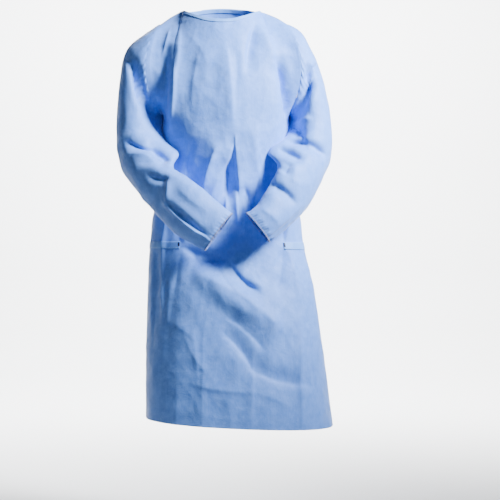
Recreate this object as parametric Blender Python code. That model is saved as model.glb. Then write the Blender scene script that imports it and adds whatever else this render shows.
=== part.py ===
"""Visitor gown of thin nonwoven cloth, hollow, in its worn form with both forearms before the waist.

Metres, +Z up, the front faces -Y and the wearer's left is +X. The origin is at the middle of the
neck, level with the inside of the shoulder seams. Each piece starts as a grid of points on the middle
of its cloth. The folds move those points, and a wall is then raised on both sides of them.
"""

from collections import namedtuple
from math import pi

import bmesh
import bpy
import numpy as np

# Cloth
CLOTH = 0.0015
SEAM_GAP = 0.0003

# Grid of the cloth
SHOULDER_COLUMNS = 6
NECK_COLUMNS_FRONT = 16
NECK_COLUMNS_BACK = 6
LAP_COLUMNS = 2
YOKE_ROWS = 12
SLEEVE_STEPS = 2
DENSE = 241

# Neck, shoulders and armholes
NECK_HALF_WIDTH = 0.108
NECK_MIDDLE_X = -0.006
NECK_SIDE_Z = 0.001
NECK_FRONT_Y = -0.088
NECK_FRONT_Z = -0.036
NECK_BACK_Y = 0.078
NECK_BACK_Z = 0.022
SHOULDER_X = 0.176
SHOULDER_Z = -0.034
SHOULDER_CROWN = 0.004
UNDERARM_X = 0.183
UNDERARM_Z = -0.288
ARMHOLE_BULGE = 0.034
ARMHOLE_HALF_DEPTH = 0.074
CHEST_FULLNESS = 0.004
SHOULDER_BLADE_FULLNESS = 0.006
ARMHOLE_REACH = 3.0
YOKE_SLOPE = 0.7
UNDERARM_DIP = 0.030
DIP_ROWS = 5

# Open back
LAP = 0.060
LAP_STEP = 0.0058
LAP_LEVEL = 0.072
LAP_RAMP = 0.055

# Waist ties
TIE_TOP_Z = -0.644
TIE_WIDTH = 0.020
TIE_THICKNESS = 0.0012
TACK_X = {"right": -0.117, "left": 0.162}
TIE_GAP = 0.0004
TIE_BACK_GAP = 0.004
TIE_TURN_OUTER = 0.024
TIE_TURN_STEPS = 5
LAP_CLIMB = 0.020
TURN_CLEARANCE = 0.004
TURN_COLUMNS = 5
TAIL_GAP = 0.0013
TAIL_CURVE = 1.5
TAIL_STEPS = 10
TAIL_LENGTH = {"right": 0.190, "left": 0.215}
TAIL_SPREAD = {"right": 0.014, "left": 0.022}
KNOT_SIZE = (0.034, 0.012, 0.028)
KNOT_ROUNDING = 0.0045
KNOT_SAMPLES = 5

# Neck binding and the closure at the nape
BINDING_SHARE = 0.042
BINDING_THICKNESS = 0.001
BINDING_GAP = 0.0005
PATCH_BELOW_BINDING = 0.2
PATCH_THICKNESS = 0.0028

# Hem
HEM_Z = -1.143
HEM_TILT = -0.044

# The body's sections, from the underarm to the hem. A higher squareness gives flatter faces.
BodySection = namedtuple("BodySection", "z half_width front back centre_x squareness")
BODY_SECTIONS = (
    BodySection(-0.288, 0.175, 0.124, 0.110, 0.006, 2.5),
    BodySection(-0.350, 0.178, 0.125, 0.110, 0.004, 2.1),
    BodySection(-0.430, 0.169, 0.119, 0.106, 0.003, 1.95),
    BodySection(-0.490, 0.171, 0.112, 0.102, 0.004, 2.0),
    BodySection(-0.560, 0.203, 0.106, 0.102, 0.007, 2.3),
    BodySection(-0.644, 0.214, 0.107, 0.104, 0.008, 2.35),
    BodySection(-0.664, 0.217, 0.110, 0.106, 0.009, 2.35),
    BodySection(-0.760, 0.231, 0.140, 0.138, 0.018, 2.3),
    BodySection(-0.900, 0.244, 0.158, 0.158, 0.027, 2.3),
    BodySection(-1.143, 0.262, 0.178, 0.180, 0.043, 2.3),
)

# Rows of the skirt's and waist's cloth, counted between the levels that they join
RowBand = namedtuple("RowBand", "top bottom rows")
ROW_BANDS = (
    RowBand(UNDERARM_Z, -0.560, 9),
    RowBand(-0.560, TIE_TOP_Z, 3),
    RowBand(TIE_TOP_Z, TIE_TOP_Z - TIE_WIDTH, 1),
    RowBand(TIE_TOP_Z - TIE_WIDTH, HEM_Z, 13),
)

# A sleeve's sections: where its outer and inner folds lie, half its depth between them, and how far
# the middle of its front and back bows out from the body
SleeveSection = namedtuple("SleeveSection", "outer inner half_depth bow")
SLEEVE_SECTIONS = {
    "right": (
        SleeveSection((-0.227, 0.002, -0.064), (-0.194, 0.004, -0.296), 0.075, 0.026),
        SleeveSection((-0.268, 0.002, -0.101), (-0.201, -0.004, -0.306), 0.073, 0.014),
        SleeveSection((-0.286, 0.002, -0.151), (-0.199, -0.016, -0.322), 0.068, 0.006),
        SleeveSection((-0.294, 0.002, -0.232), (-0.191, -0.034, -0.342), 0.063, 0.0),
        SleeveSection((-0.296, 0.002, -0.307), (-0.180, -0.054, -0.366), 0.061, 0.0),
        SleeveSection((-0.293, -0.006, -0.371), (-0.168, -0.086, -0.394), 0.056, 0.0),
        SleeveSection((-0.286, -0.014, -0.416), (-0.155, -0.114, -0.420), 0.052, 0.0),
        SleeveSection((-0.268, -0.032, -0.457), (-0.137, -0.146, -0.446), 0.050, 0.0),
        SleeveSection((-0.237, -0.066, -0.501), (-0.096, -0.174, -0.472), 0.047, 0.0),
        SleeveSection((-0.195, -0.108, -0.552), (-0.060, -0.187, -0.497), 0.044, 0.0),
        SleeveSection((-0.126, -0.158, -0.623), (-0.016, -0.193, -0.534), 0.040, 0.0),
        SleeveSection((-0.062, -0.176, -0.660), (0.012, -0.196, -0.559), 0.034, 0.0),
        SleeveSection((-0.046, -0.178, -0.668), (0.026, -0.196, -0.570), 0.030, 0.0),
    ),
    "left": (
        SleeveSection((0.216, 0.002, -0.056), (0.200, 0.004, -0.296), 0.075, 0.014),
        SleeveSection((0.242, 0.004, -0.099), (0.207, 0.004, -0.307), 0.074, 0.008),
        SleeveSection((0.265, 0.002, -0.151), (0.207, -0.014, -0.322), 0.068, 0.004),
        SleeveSection((0.286, 0.002, -0.232), (0.200, -0.032, -0.340), 0.063, 0.0),
        SleeveSection((0.294, 0.002, -0.307), (0.189, -0.052, -0.359), 0.061, 0.0),
        SleeveSection((0.294, -0.006, -0.371), (0.178, -0.086, -0.384), 0.056, 0.0),
        SleeveSection((0.287, -0.018, -0.428), (0.168, -0.114, -0.409), 0.051, 0.0),
        SleeveSection((0.269, -0.036, -0.466), (0.158, -0.142, -0.438), 0.048, 0.0),
        SleeveSection((0.247, -0.068, -0.510), (0.143, -0.162, -0.470), 0.045, 0.0),
        SleeveSection((0.216, -0.100, -0.562), (0.118, -0.176, -0.511), 0.043, 0.0),
        SleeveSection((0.173, -0.140, -0.606), (0.097, -0.184, -0.541), 0.038, 0.0),
        SleeveSection((0.139, -0.164, -0.635), (0.076, -0.190, -0.560), 0.033, 0.0),
        SleeveSection((0.124, -0.168, -0.645), (0.063, -0.190, -0.568), 0.029, 0.0),
    ),
}
SLEEVE_RING = 2 * YOKE_ROWS
LAST_UPRIGHT_SECTION = 2
SECTIONS_TO_BEND = 5
FRONTWARD = np.array([0.0, -1.0, 0.0])
CUFF_ROWS = SLEEVE_STEPS
CUFF_GATHER = 0.0012
SEAM_FADE_ROWS = 4.0

# How much of a fold's height its ends keep, and how fast folds fade where the cloth turns sideways
FOLD_END_SHARE = 0.35
FOLD_END_CUT = 0.08
BODY_FOLD_FADE = 3.0
SLEEVE_FOLD_FADE = 2.5

# Folds, each along a line seen from the front or back. A positive height is a ridge, a negative a valley.
Fold = namedtuple("Fold", "x0 z0 x1 z1 width height")
BODY_FOLDS_FRONT = (
    Fold(-0.126, -0.060, -0.134, -0.300, 0.020, 0.007),
    Fold(-0.160, -0.120, -0.166, -0.300, 0.017, -0.012),
    Fold(0.084, -0.055, 0.072, -0.165, 0.017, -0.005),
    Fold(0.108, -0.060, 0.140, -0.150, 0.018, 0.006),
    Fold(0.152, -0.150, 0.174, -0.285, 0.015, -0.010),
    Fold(0.018, -0.100, 0.019, -0.390, 0.034, 0.005),
    Fold(0.030, -0.385, 0.004, -0.520, 0.022, -0.013),
    Fold(-0.022, -0.396, -0.058, -0.510, 0.018, 0.008),
    Fold(0.062, -0.510, 0.105, -0.550, 0.020, -0.008),
    Fold(-0.128, -0.354, -0.128, -0.440, 0.024, -0.008),
    Fold(-0.075, -0.685, 0.010, -0.710, 0.024, -0.009),
    Fold(-0.032, -0.720, 0.150, -0.850, 0.026, 0.009),
    Fold(0.030, -0.740, 0.095, -0.785, 0.018, -0.007),
    Fold(0.014, -0.880, 0.090, -0.980, 0.022, -0.006),
    Fold(0.090, -0.985, 0.230, -1.030, 0.022, -0.006),
    Fold(-0.180, -0.680, -0.178, -0.860, 0.020, -0.009),
    Fold(0.205, -0.800, 0.212, -1.130, 0.024, 0.007),
    Fold(-0.110, -0.800, -0.120, -1.130, 0.034, 0.006),
)
BODY_FOLDS_BACK = (
    Fold(-0.090, -0.060, -0.060, -0.300, 0.024, -0.006),
    Fold(0.100, -0.070, 0.120, -0.320, 0.024, -0.006),
    Fold(-0.070, -0.400, -0.100, -0.620, 0.022, -0.009),
    Fold(-0.150, -0.500, -0.140, -0.630, 0.020, 0.008),
    Fold(0.110, -0.440, 0.120, -0.625, 0.022, -0.009),
    Fold(0.160, -0.520, 0.150, -0.630, 0.020, 0.008),
    Fold(-0.110, -0.700, -0.125, -1.130, 0.024, -0.012),
    Fold(-0.180, -0.720, -0.195, -1.130, 0.026, 0.010),
    Fold(0.130, -0.700, 0.150, -1.130, 0.024, -0.012),
    Fold(0.185, -0.720, 0.225, -1.130, 0.026, 0.010),
)
SLEEVE_FOLDS_FRONT = {
    "right": (
        Fold(-0.262, -0.130, -0.226, -0.236, 0.014, -0.009),
        Fold(-0.222, -0.165, -0.204, -0.262, 0.013, -0.007),
        Fold(-0.255, -0.375, -0.200, -0.378, 0.014, -0.008),
        Fold(-0.200, -0.378, -0.160, -0.415, 0.013, -0.008),
        Fold(-0.198, -0.466, -0.165, -0.472, 0.014, -0.006),
        Fold(-0.152, -0.520, -0.060, -0.600, 0.016, 0.007),
        Fold(-0.140, -0.560, -0.060, -0.622, 0.014, -0.008),
    ),
    "left": (
        Fold(0.246, -0.165, 0.212, -0.208, 0.013, -0.007),
        Fold(0.246, -0.190, 0.196, -0.270, 0.013, -0.008),
        Fold(0.182, -0.362, 0.262, -0.396, 0.014, -0.009),
        Fold(0.162, -0.395, 0.216, -0.415, 0.013, -0.007),
        Fold(0.130, -0.490, 0.180, -0.530, 0.013, -0.006),
    ),
}
SLEEVE_FOLDS_BACK = {
    "right": (
        Fold(-0.270, -0.150, -0.225, -0.240, 0.016, -0.007),
        Fold(-0.280, -0.400, -0.210, -0.350, 0.015, -0.007),
        Fold(-0.280, -0.300, -0.220, -0.290, 0.015, 0.005),
    ),
    "left": (
        Fold(0.262, -0.150, 0.220, -0.240, 0.016, -0.007),
        Fold(0.280, -0.400, 0.212, -0.352, 0.015, -0.007),
        Fold(0.280, -0.300, 0.224, -0.290, 0.015, 0.005),
    ),
}

# Colours, roughness
BLUE_CLOTH = ((0.225, 0.415, 0.760), 0.62)
BLUE_TRIM = ((0.300, 0.490, 0.800), 0.58)


def smooth_step(x):
    x = np.clip(x, 0.0, 1.0)
    return x * x * (3.0 - 2.0 * x)


def unit(v):
    return v / np.maximum(np.linalg.norm(v, axis=-1, keepdims=True), 1e-12)


def curve_through(knots, values, at):
    """A smooth curve through values at the knots, read at each place in at."""
    knots = np.asarray(knots, float)
    values = np.asarray(values, float)
    slopes = np.gradient(values, knots, axis=0)
    out = []
    for place in np.atleast_1d(at):
        i = int(np.clip(np.searchsorted(knots, place) - 1, 0, len(knots) - 2))
        step = knots[i + 1] - knots[i]
        t = (place - knots[i]) / step
        out.append(
            (2 * t**3 - 3 * t**2 + 1) * values[i]
            + (t**3 - 2 * t**2 + t) * step * slopes[i]
            + (3 * t**2 - 2 * t**3) * values[i + 1]
            + (t**3 - t**2) * step * slopes[i + 1]
        )
    return np.array(out)


def points_along(line, distances):
    """The points of a polyline at the given distances from its start."""
    steps = np.linalg.norm(np.diff(line, axis=0), axis=1)
    along = np.concatenate([[0.0], np.cumsum(steps)])
    return np.stack([np.interp(distances, along, line[:, k]) for k in range(3)], axis=1), along[-1]


def evenly(line, columns):
    length = points_along(line, [0.0])[1]
    return points_along(line, np.linspace(0.0, length, columns + 1))[0]


def body_form(z):
    """The section of the body at a level, as a BodySection."""
    levels = [-s.z for s in BODY_SECTIONS]
    rows = [s[1:] for s in BODY_SECTIONS]
    return BodySection(z, *curve_through(levels, rows, -z)[0])


def hem_drop(x, z):
    """How much lower a point hangs because the hem tilts."""
    share = np.clip((z - UNDERARM_Z) / (HEM_Z - UNDERARM_Z), 0.0, 1.0)
    return HEM_TILT * (x - BODY_SECTIONS[-1].centre_x) * share**2


def body_arc(z, start, end):
    """The body's outline at a level between two angles. 0 is the front middle, 90 the wearer's left."""
    form = body_form(z)
    angle = np.radians(np.linspace(start, end, DENSE))
    power = 2.0 / form.squareness
    across, ahead = np.sin(angle), np.cos(angle)
    x = form.centre_x + form.half_width * np.sign(across) * np.abs(across) ** power
    depth = np.where(ahead > 0, -form.front, form.back)
    y = depth * np.abs(ahead) ** power
    return np.stack([x, y, z + hem_drop(x, z)], axis=1)


def armhole(side):
    """The armhole's ring of points: top, front, underarm, back."""
    sign = {"right": -1.0, "left": 1.0}[side]
    turn = np.linspace(0.0, 2.0 * pi, SLEEVE_RING, endpoint=False)
    height = np.cos(turn)
    middle = (SHOULDER_X + UNDERARM_X) / 2.0
    lean = (SHOULDER_X - UNDERARM_X) / 2.0
    x = sign * (middle + lean * height + ARMHOLE_BULGE * (1.0 - height**2))
    y = -ARMHOLE_HALF_DEPTH * np.sin(turn)
    z = (SHOULDER_Z + UNDERARM_Z) / 2.0 + (SHOULDER_Z - UNDERARM_Z) / 2.0 * height
    return np.stack([x, y, z], axis=1)


def shoulder_line(side):
    """The shoulder seam from the armhole to the neck."""
    sign = {"right": -1.0, "left": 1.0}[side]
    t = np.linspace(0.0, 1.0, SHOULDER_COLUMNS + 1)
    neck_x = NECK_MIDDLE_X + sign * NECK_HALF_WIDTH
    x = sign * SHOULDER_X + (neck_x - sign * SHOULDER_X) * t
    z = SHOULDER_Z + (NECK_SIDE_Z - SHOULDER_Z) * t + SHOULDER_CROWN * np.sin(pi * t)
    return np.stack([x, np.zeros_like(t), z], axis=1)


def neck_arc(reach_y, middle_z, start, end):
    """Part of the neckline. 0 is its middle, 90 the wearer's left side."""
    angle = np.radians(np.linspace(start, end, DENSE))
    x = NECK_MIDDLE_X + NECK_HALF_WIDTH * np.sin(angle)
    y = reach_y * np.cos(angle)
    z = NECK_SIDE_Z + (middle_z - NECK_SIDE_Z) * np.cos(angle) ** 2
    return np.stack([x, y, z], axis=1)


def row_levels():
    levels = [UNDERARM_Z]
    for band in ROW_BANDS:
        levels += list(np.linspace(band.top, band.bottom, band.rows + 1)[1:])
    return levels


def yoke_shares(v):
    """How far a point at share v of the yoke has gone outwards (x, y) and down (z)."""
    out = np.sin(pi / 2.0 * v)
    return np.stack([out, out, v * (YOKE_SLOPE + (1.0 - YOKE_SLOPE) * v)], axis=-1)


def yoke(top, bottom, sides, near_armhole):
    """Rows from the shoulders and neck, round the top of the chest, down to the underarm.

    Each side is (share of each column, armhole points). The first row below the neck edge is where
    the binding's foot lies, and at the armholes all rows are even.
    """
    grid = []
    for row in range(YOKE_ROWS + 1):
        even = row / YOKE_ROWS
        below = BINDING_SHARE + (1.0 - BINDING_SHARE) * (row - 1) / (YOKE_ROWS - 1) if row else 0.0
        shares = yoke_shares(below + (even - below) * near_armhole)
        line = (1.0 - shares) * top + shares * bottom
        for share, edge in sides:
            plain = (1.0 - yoke_shares(even)) * edge[0] + yoke_shares(even) * edge[-1]
            line = line + share[:, None] * (edge[row] - plain)
        grid.append(line)
    return np.array(grid)


def dipped(rows, from_side):
    """Lowers the first rows away from the underarm. from_side is 1 at the side seam, 0 far from it."""
    for row in range(DIP_ROWS):
        rows[row][:, 2] -= UNDERARM_DIP * (1.0 - from_side**6) * (1.0 - row / DIP_ROWS)
    return rows


def front_grid():
    half = SHOULDER_COLUMNS + NECK_COLUMNS_FRONT // 2
    neck = evenly(neck_arc(NECK_FRONT_Y, NECK_FRONT_Z, -90, 90), NECK_COLUMNS_FRONT)
    top = np.vstack([shoulder_line("right")[:-1], neck, shoulder_line("left")[::-1][1:]])
    u = np.linspace(-1.0, 1.0, 2 * half + 1)
    rows = dipped([evenly(body_arc(z, -90, 90), 2 * half) for z in row_levels()], np.abs(u))
    rows[0][0], rows[0][-1] = armhole("right")[YOKE_ROWS], armhole("left")[YOKE_ROWS]
    sides = [
        (np.clip(-u, 0, 1) ** ARMHOLE_REACH, armhole("right")[: YOKE_ROWS + 1]),
        (np.clip(u, 0, 1) ** ARMHOLE_REACH, armhole("left")[: YOKE_ROWS + 1]),
    ]
    near = np.clip((np.abs(u) * half - NECK_COLUMNS_FRONT / 2.0) / SHOULDER_COLUMNS, 0.0, 1.0)
    grid = np.vstack([yoke(top, rows[0], sides, near), rows[1:]])
    v = np.linspace(0.0, 1.0, YOKE_ROWS + 1)[:, None]
    grid[: YOKE_ROWS + 1, :, 1] -= CHEST_FULLNESS * np.sin(pi * v) * (1.0 - u**4)
    return grid


def back_line(line, columns):
    """Columns from the side to the centre back, then on past it by the lap."""
    half = points_along(line[: DENSE // 2 + 1], [0.0])[1]
    laps = half + LAP * np.arange(1, LAP_COLUMNS + 1) / LAP_COLUMNS
    return points_along(line, np.concatenate([np.linspace(0.0, half, columns + 1), laps]))[0]


def back_top(side):
    sign = {"right": -1.0, "left": 1.0}[side]
    shoulder = shoulder_line(side)
    neck = back_line(neck_arc(NECK_BACK_Y, NECK_BACK_Z, sign * 90, -sign * 90), NECK_COLUMNS_BACK)
    return np.vstack([shoulder[:-1], neck])


def back_grid(side):
    """One back panel, from its side seam (first column) past the centre back (last columns)."""
    sign = {"right": -1.0, "left": 1.0}[side]
    columns = SHOULDER_COLUMNS + NECK_COLUMNS_BACK
    s = np.clip(np.arange(columns + LAP_COLUMNS + 1) / columns, 0.0, 1.0)
    lines = [back_line(body_arc(z, sign * 90, sign * 270), columns) for z in row_levels()]
    rows = dipped(lines, 1.0 - s)
    edge = armhole(side)
    edge = np.vstack([edge[:1], edge[::-1][:YOKE_ROWS]])
    rows[0][0] = edge[-1]
    near = np.clip(1.0 - np.arange(len(s)) / SHOULDER_COLUMNS, 0.0, 1.0)
    sides = [((1.0 - s) ** ARMHOLE_REACH, edge)]
    grid = np.vstack([yoke(back_top(side), rows[0], sides, near), rows[1:]])
    v = np.linspace(0.0, 1.0, YOKE_ROWS + 1)[:, None]
    grid[: YOKE_ROWS + 1, :, 1] += SHOULDER_BLADE_FULLNESS * np.sin(pi * v) * (1.0 - (1.0 - s) ** 4)
    return grid


def past_centre(grid):
    """Distance of each point from the centre back along its row, negative in the lap."""
    steps = np.linalg.norm(np.diff(grid, axis=1), axis=2)
    along = np.concatenate([np.zeros((len(grid), 1)), np.cumsum(steps, axis=1)], axis=1)
    return along[:, -LAP_COLUMNS - 1][:, None] - along


def sleeve_rings(side):
    """Rings through the armhole and each section of a sleeve."""
    sections = SLEEVE_SECTIONS[side]
    centres = np.array([np.add(s.outer, s.inner) / 2.0 for s in sections])
    ahead = unit(np.gradient(np.vstack([armhole(side).mean(axis=0), centres]), axis=0))[1:]
    turn = np.linspace(0.0, 2.0 * pi, SLEEVE_RING, endpoint=False)[:, None]
    sign = {"right": 1.0, "left": -1.0}[side]
    rings = [armhole(side)]
    for number, (section, centre, tangent) in enumerate(zip(sections, centres, ahead)):
        half = (np.array(section.outer) - section.inner) / 2.0
        bent = smooth_step((number - LAST_UPRIGHT_SECTION) / SECTIONS_TO_BEND)
        forward = (1.0 - bent) * FRONTWARD - bent * sign * unit(np.cross(tangent, half))
        forward = unit(forward - (forward @ unit(half)) * unit(half)) * section.half_depth
        bow = np.array([-sign * section.bow, 0.0, 0.0]) * np.sin(turn) ** 2
        rings.append(centre + np.cos(turn) * half + np.sin(turn) * forward + bow)
    return np.array(rings)


def sleeve_grid(side):
    rings = sleeve_rings(side)
    knots = np.arange(len(rings))
    at = np.arange(0, len(rings) - 1 + 1e-9, 1.0 / SLEEVE_STEPS)
    return curve_through(knots, rings, at)


def fold_height(points, folds):
    """The summed height of the folds at each point, by its place seen from the front."""
    height = np.zeros(points.shape[:-1])
    flat = points[..., [0, 2]]
    for fold in folds:
        start = np.array([fold.x0, fold.z0])
        run = np.array([fold.x1, fold.z1]) - start
        share = np.clip(((flat - start) @ run) / (run @ run), 0.0, 1.0)
        away = np.linalg.norm(flat - (start + share[..., None] * run), axis=-1)
        along = np.clip(share, FOLD_END_CUT, 1.0 - FOLD_END_CUT)
        taper = FOLD_END_SHARE + (1.0 - FOLD_END_SHARE) * np.sin(pi * along)
        height += fold.height * taper * np.exp(-((away / fold.width) ** 2))
    return height


def is_ring(name):
    return name.startswith(("sleeve", "cuff"))


def face_normals(grid, closed):
    """Each quad's normal times its area, for the rows and columns of a grid."""
    if closed:
        grid = np.concatenate([grid, grid[:, :1]], axis=1)
    one = grid[1:, 1:] - grid[:-1, :-1]
    other = grid[1:, :-1] - grid[:-1, 1:]
    return np.cross(other, one)


def point_key(point):
    return tuple(np.round(point, 6))


def joined_normals(grids, keys, flips):
    """Normals at the points, shared by all pieces that meet at a point.

    At an armhole the body and the sleeve count alike, so the seam is mitred.
    """
    total = {False: {}, True: {}}
    for name, grid in grids.items():
        faces = face_normals(grid, is_ring(name)) * flips[name]
        columns = grid.shape[1]
        for (row, column), _ in np.ndenumerate(faces[..., 0]):
            for r in (row, row + 1):
                for c in (column, (column + 1) % columns):
                    found = total[is_ring(name)]
                    found[keys[name][r][c]] = found.get(keys[name][r][c], 0.0) + faces[row, column]
    shared = {}
    for found in total.values():
        for key, vector in found.items():
            shared[key] = shared.get(key, 0.0) + unit(vector)
    return {name: np.array([[unit(shared[key]) for key in row] for row in keys[name]]) for name in grids}


def stitched(grids, keys):
    """Grids whose shared points lie at the mean of the places that their pieces give them."""
    places = {}
    for name, grid in grids.items():
        for row, row_keys in zip(grid, keys[name]):
            for point, key in zip(row, row_keys):
                places.setdefault(key, []).append(point)
    mean = {key: np.mean(found, axis=0) for key, found in places.items()}
    return {name: np.array([[mean[key] for key in row] for row in keys[name]]) for name in grids}


def edge_inset(edge, inner, normal, closed=False):
    """How an edge moves into its own piece, square to itself and to the cloth's normal."""
    if closed:
        along = np.roll(edge, -1, axis=0) - np.roll(edge, 1, axis=0)
    else:
        along = np.gradient(edge, axis=0)
    across = unit(np.cross(along, normal))
    side = np.sign(np.sum(across * (inner - edge), axis=1, keepdims=True))
    return across * side * SEAM_GAP / 2.0


def trimmed(name, grid, normal):
    """The piece's grid with its seam edges drawn back by half a seam gap."""
    moved = grid.copy()
    if is_ring(name):
        moved[0] += edge_inset(grid[0], grid[1], normal[0], closed=True)
        if name.startswith("sleeve"):
            moved[-1] += edge_inset(grid[-1], grid[-2], normal[-1], closed=True)
        return moved
    last_columns = [0] if name.startswith("back") else [0, -1]
    for column in last_columns:
        beside = 1 if column == 0 else -2
        moved[:, column] += edge_inset(grid[:, column], grid[:, beside], normal[:, column])
    seams = [slice(0, SHOULDER_COLUMNS + 1)]
    if name.startswith("front"):
        seams.append(slice(grid.shape[1] - SHOULDER_COLUMNS - 1, grid.shape[1]))
    for seam in seams:
        moved[0, seam] += edge_inset(grid[0, seam], grid[1, seam], normal[0, seam])
    return moved


def folded_grids():
    """Every cloth piece's grid of middle points and normals, with its folds."""
    grids = {"front_panel": front_grid()}
    for side in ("right", "left"):
        grids["back_panel_" + side] = back_grid(side)
        grids["sleeve_" + side] = sleeve_grid(side)
    keys = {n: [[point_key(p) for p in row] for row in g] for n, g in grids.items()}
    flips = {n: outward_sign(n, g) for n, g in grids.items()}
    normals = joined_normals(grids, keys, flips)
    for name, grid in grids.items():
        grids[name] = grid + normals[name] * folds_of(name, grid, normals[name])[..., None]
    grids = stitched(grids, keys)
    normals = joined_normals(grids, keys, flips)
    lap = lap_offset(grids["back_panel_left"])
    grids["back_panel_left"] += normals["back_panel_left"] * lap[..., None]
    return grids, normals


def outward_sign(name, grid):
    """1 if the grid's own normals point out of the garment, otherwise -1."""
    faces = face_normals(grid, is_ring(name))
    if is_ring(name):
        middle = (grid[:-1].mean(axis=1) + grid[1:].mean(axis=1)) / 2.0
        return np.sign(np.sum(faces * (grid[:-1] - middle[:, None])))
    outward = -1.0 if name.startswith("front") else 1.0
    return outward * np.sign(faces[..., 1].sum())


def folds_of(name, grid, normal):
    """The height of the piece's folds, those of the front and the back apart."""
    side = name.split("_")[-1]
    if name == "front_panel":
        return fold_height(grid, BODY_FOLDS_FRONT) * smooth_step(-normal[..., 1] * BODY_FOLD_FADE)
    if name.startswith("back"):
        return fold_height(grid, BODY_FOLDS_BACK) * smooth_step(normal[..., 1] * BODY_FOLD_FADE)
    facing = normal[..., 1] * SLEEVE_FOLD_FADE
    front = fold_height(grid, SLEEVE_FOLDS_FRONT[side]) * smooth_step(-facing)
    back = fold_height(grid, SLEEVE_FOLDS_BACK[side]) * smooth_step(facing)
    from_seam = smooth_step(np.arange(len(grid)) / SEAM_FADE_ROWS)
    return (front + back) * from_seam[:, None]


def lap_offset(grid):
    """How far the left back stands out, so that it lies over the right one."""
    distance = past_centre(grid)
    return LAP_STEP * smooth_step(1.0 - (distance - LAP_LEVEL) / LAP_RAMP)


def material(name, finish):
    colour, roughness = finish
    made = bpy.data.materials.new(name)
    made.use_nodes = True
    shader = made.node_tree.nodes["Principled BSDF"]
    shader.inputs["Base Color"].default_value = (*colour, 1.0)
    shader.inputs["Roughness"].default_value = roughness
    shader.inputs["Metallic"].default_value = 0.0
    return made


def object_from(name, bm, finish):
    mesh = bpy.data.meshes.new(name)
    bm.to_mesh(mesh)
    bm.free()
    mesh.shade_smooth()
    mesh.set_sharp_from_angle(angle=pi / 4.0)
    mesh.materials.append(material(name + "_cloth", finish))
    made = bpy.data.objects.new(name, mesh)
    bpy.context.scene.collection.objects.link(made)
    return made


def strip_faces(bm, lines, closed, flip, turned_rows=(), turned_columns=()):
    """Triangles between lines of vertices, cut along the same diagonal, or the other where turned."""
    columns = len(lines[0])
    for row, (line, following) in enumerate(zip(lines, lines[1:])):
        for column in range(columns if closed else columns - 1):
            a, b = line[column], line[(column + 1) % columns]
            d, c = following[column], following[(column + 1) % columns]
            faces = ((a, b, c), (a, c, d))
            if (row in turned_rows) != (column in turned_columns):
                faces = ((a, b, d), (b, c, d))
            for face in faces:
                bm.faces.new(face[::-1] if flip else face)


def wall_object(name, outer, inner, closed, finish):
    """A closed wall between an outer and an inner grid of points."""
    bm = bmesh.new()
    outside = [[bm.verts.new(p) for p in row] for row in outer]
    inside = [[bm.verts.new(p) for p in row] for row in inner]
    strip_faces(bm, outside, closed, False)
    strip_faces(bm, inside, closed, True)
    for out_row, in_row in ((outside[0], inside[0]), (outside[-1], inside[-1])):
        strip_faces(bm, [out_row, in_row], closed, out_row is outside[0])
    if not closed:
        for column in (0, -1):
            out_line = [row[column] for row in outside]
            in_line = [row[column] for row in inside]
            strip_faces(bm, [out_line, in_line], False, column == -1)
    bmesh.ops.recalc_face_normals(bm, faces=bm.faces)
    if bm.calc_volume(signed=True) < 0.0:
        bmesh.ops.reverse_faces(bm, faces=bm.faces)
    return object_from(name, bm, finish)


def cloth_walls(grids, normals):
    """The outer and inner points of each cloth piece, by name."""
    walls = {}
    for name, grid in grids.items():
        moved = trimmed(name, grid, normals[name])
        half = normals[name] * CLOTH / 2.0
        walls[name] = (moved + half, moved - half)
    return walls


def split_cuff(side, grids, normals):
    """Parts a sleeve's last rows off as its cuff, gathered a little at its end."""
    sleeve, cuff = "sleeve_" + side, "cuff_" + side
    grids[cuff] = grids[sleeve][-CUFF_ROWS - 1:].copy()
    normals[cuff] = normals[sleeve][-CUFF_ROWS - 1:].copy()
    grids[sleeve] = grids[sleeve][:-CUFF_ROWS]
    normals[sleeve] = normals[sleeve][:-CUFF_ROWS]
    gather = CUFF_GATHER * np.where(np.arange(SLEEVE_RING) % 2 == 0, 1.0, -1.0)
    for row in range(1, CUFF_ROWS + 1):
        grids[cuff][row] += normals[cuff][row] * gather[:, None]


def closed_strip(name, sections, finish, turned_rows=(), turned_columns=()):
    """A closed solid through equal rings of points, with flat ends."""
    bm = bmesh.new()
    rings = [[bm.verts.new(p) for p in ring] for ring in sections]
    strip_faces(bm, rings, True, False, turned_rows, turned_columns)
    ends = [bm.faces.new(ring) for ring in (rings[0], rings[-1])]
    bm.normal_update()
    bmesh.ops.triangulate(bm, faces=ends)
    bmesh.ops.recalc_face_normals(bm, faces=bm.faces)
    if bm.calc_volume(signed=True) < 0.0:
        bmesh.ops.reverse_faces(bm, faces=bm.faces)
    return object_from(name, bm, finish)


def neck_rows(walls, layer):
    """The neck edge and the binding's foot, from the right back's lap round the front to the left's.

    On each shoulder the foot crosses the seam, so one more place lies on the seam itself.
    """
    neck = slice(SHOULDER_COLUMNS, SHOULDER_COLUMNS + NECK_COLUMNS_FRONT + 1)
    after = slice(SHOULDER_COLUMNS, None)
    right, front, left = (walls[n][layer] for n in ("back_panel_right", "front_panel", "back_panel_left"))
    beside = SHOULDER_COLUMNS - 1
    right_seam = [(right[0, c] + front[0, c]) / 2.0 for c in (SHOULDER_COLUMNS, beside)]
    left_seam = [(left[0, c] + front[0, -1 - c]) / 2.0 for c in (SHOULDER_COLUMNS, beside)]
    return [
        np.vstack([right[r, after][::-1], right_seam[r], front[r, neck], left_seam[r], left[r, after]])
        for r in (0, 1)
    ]


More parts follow.
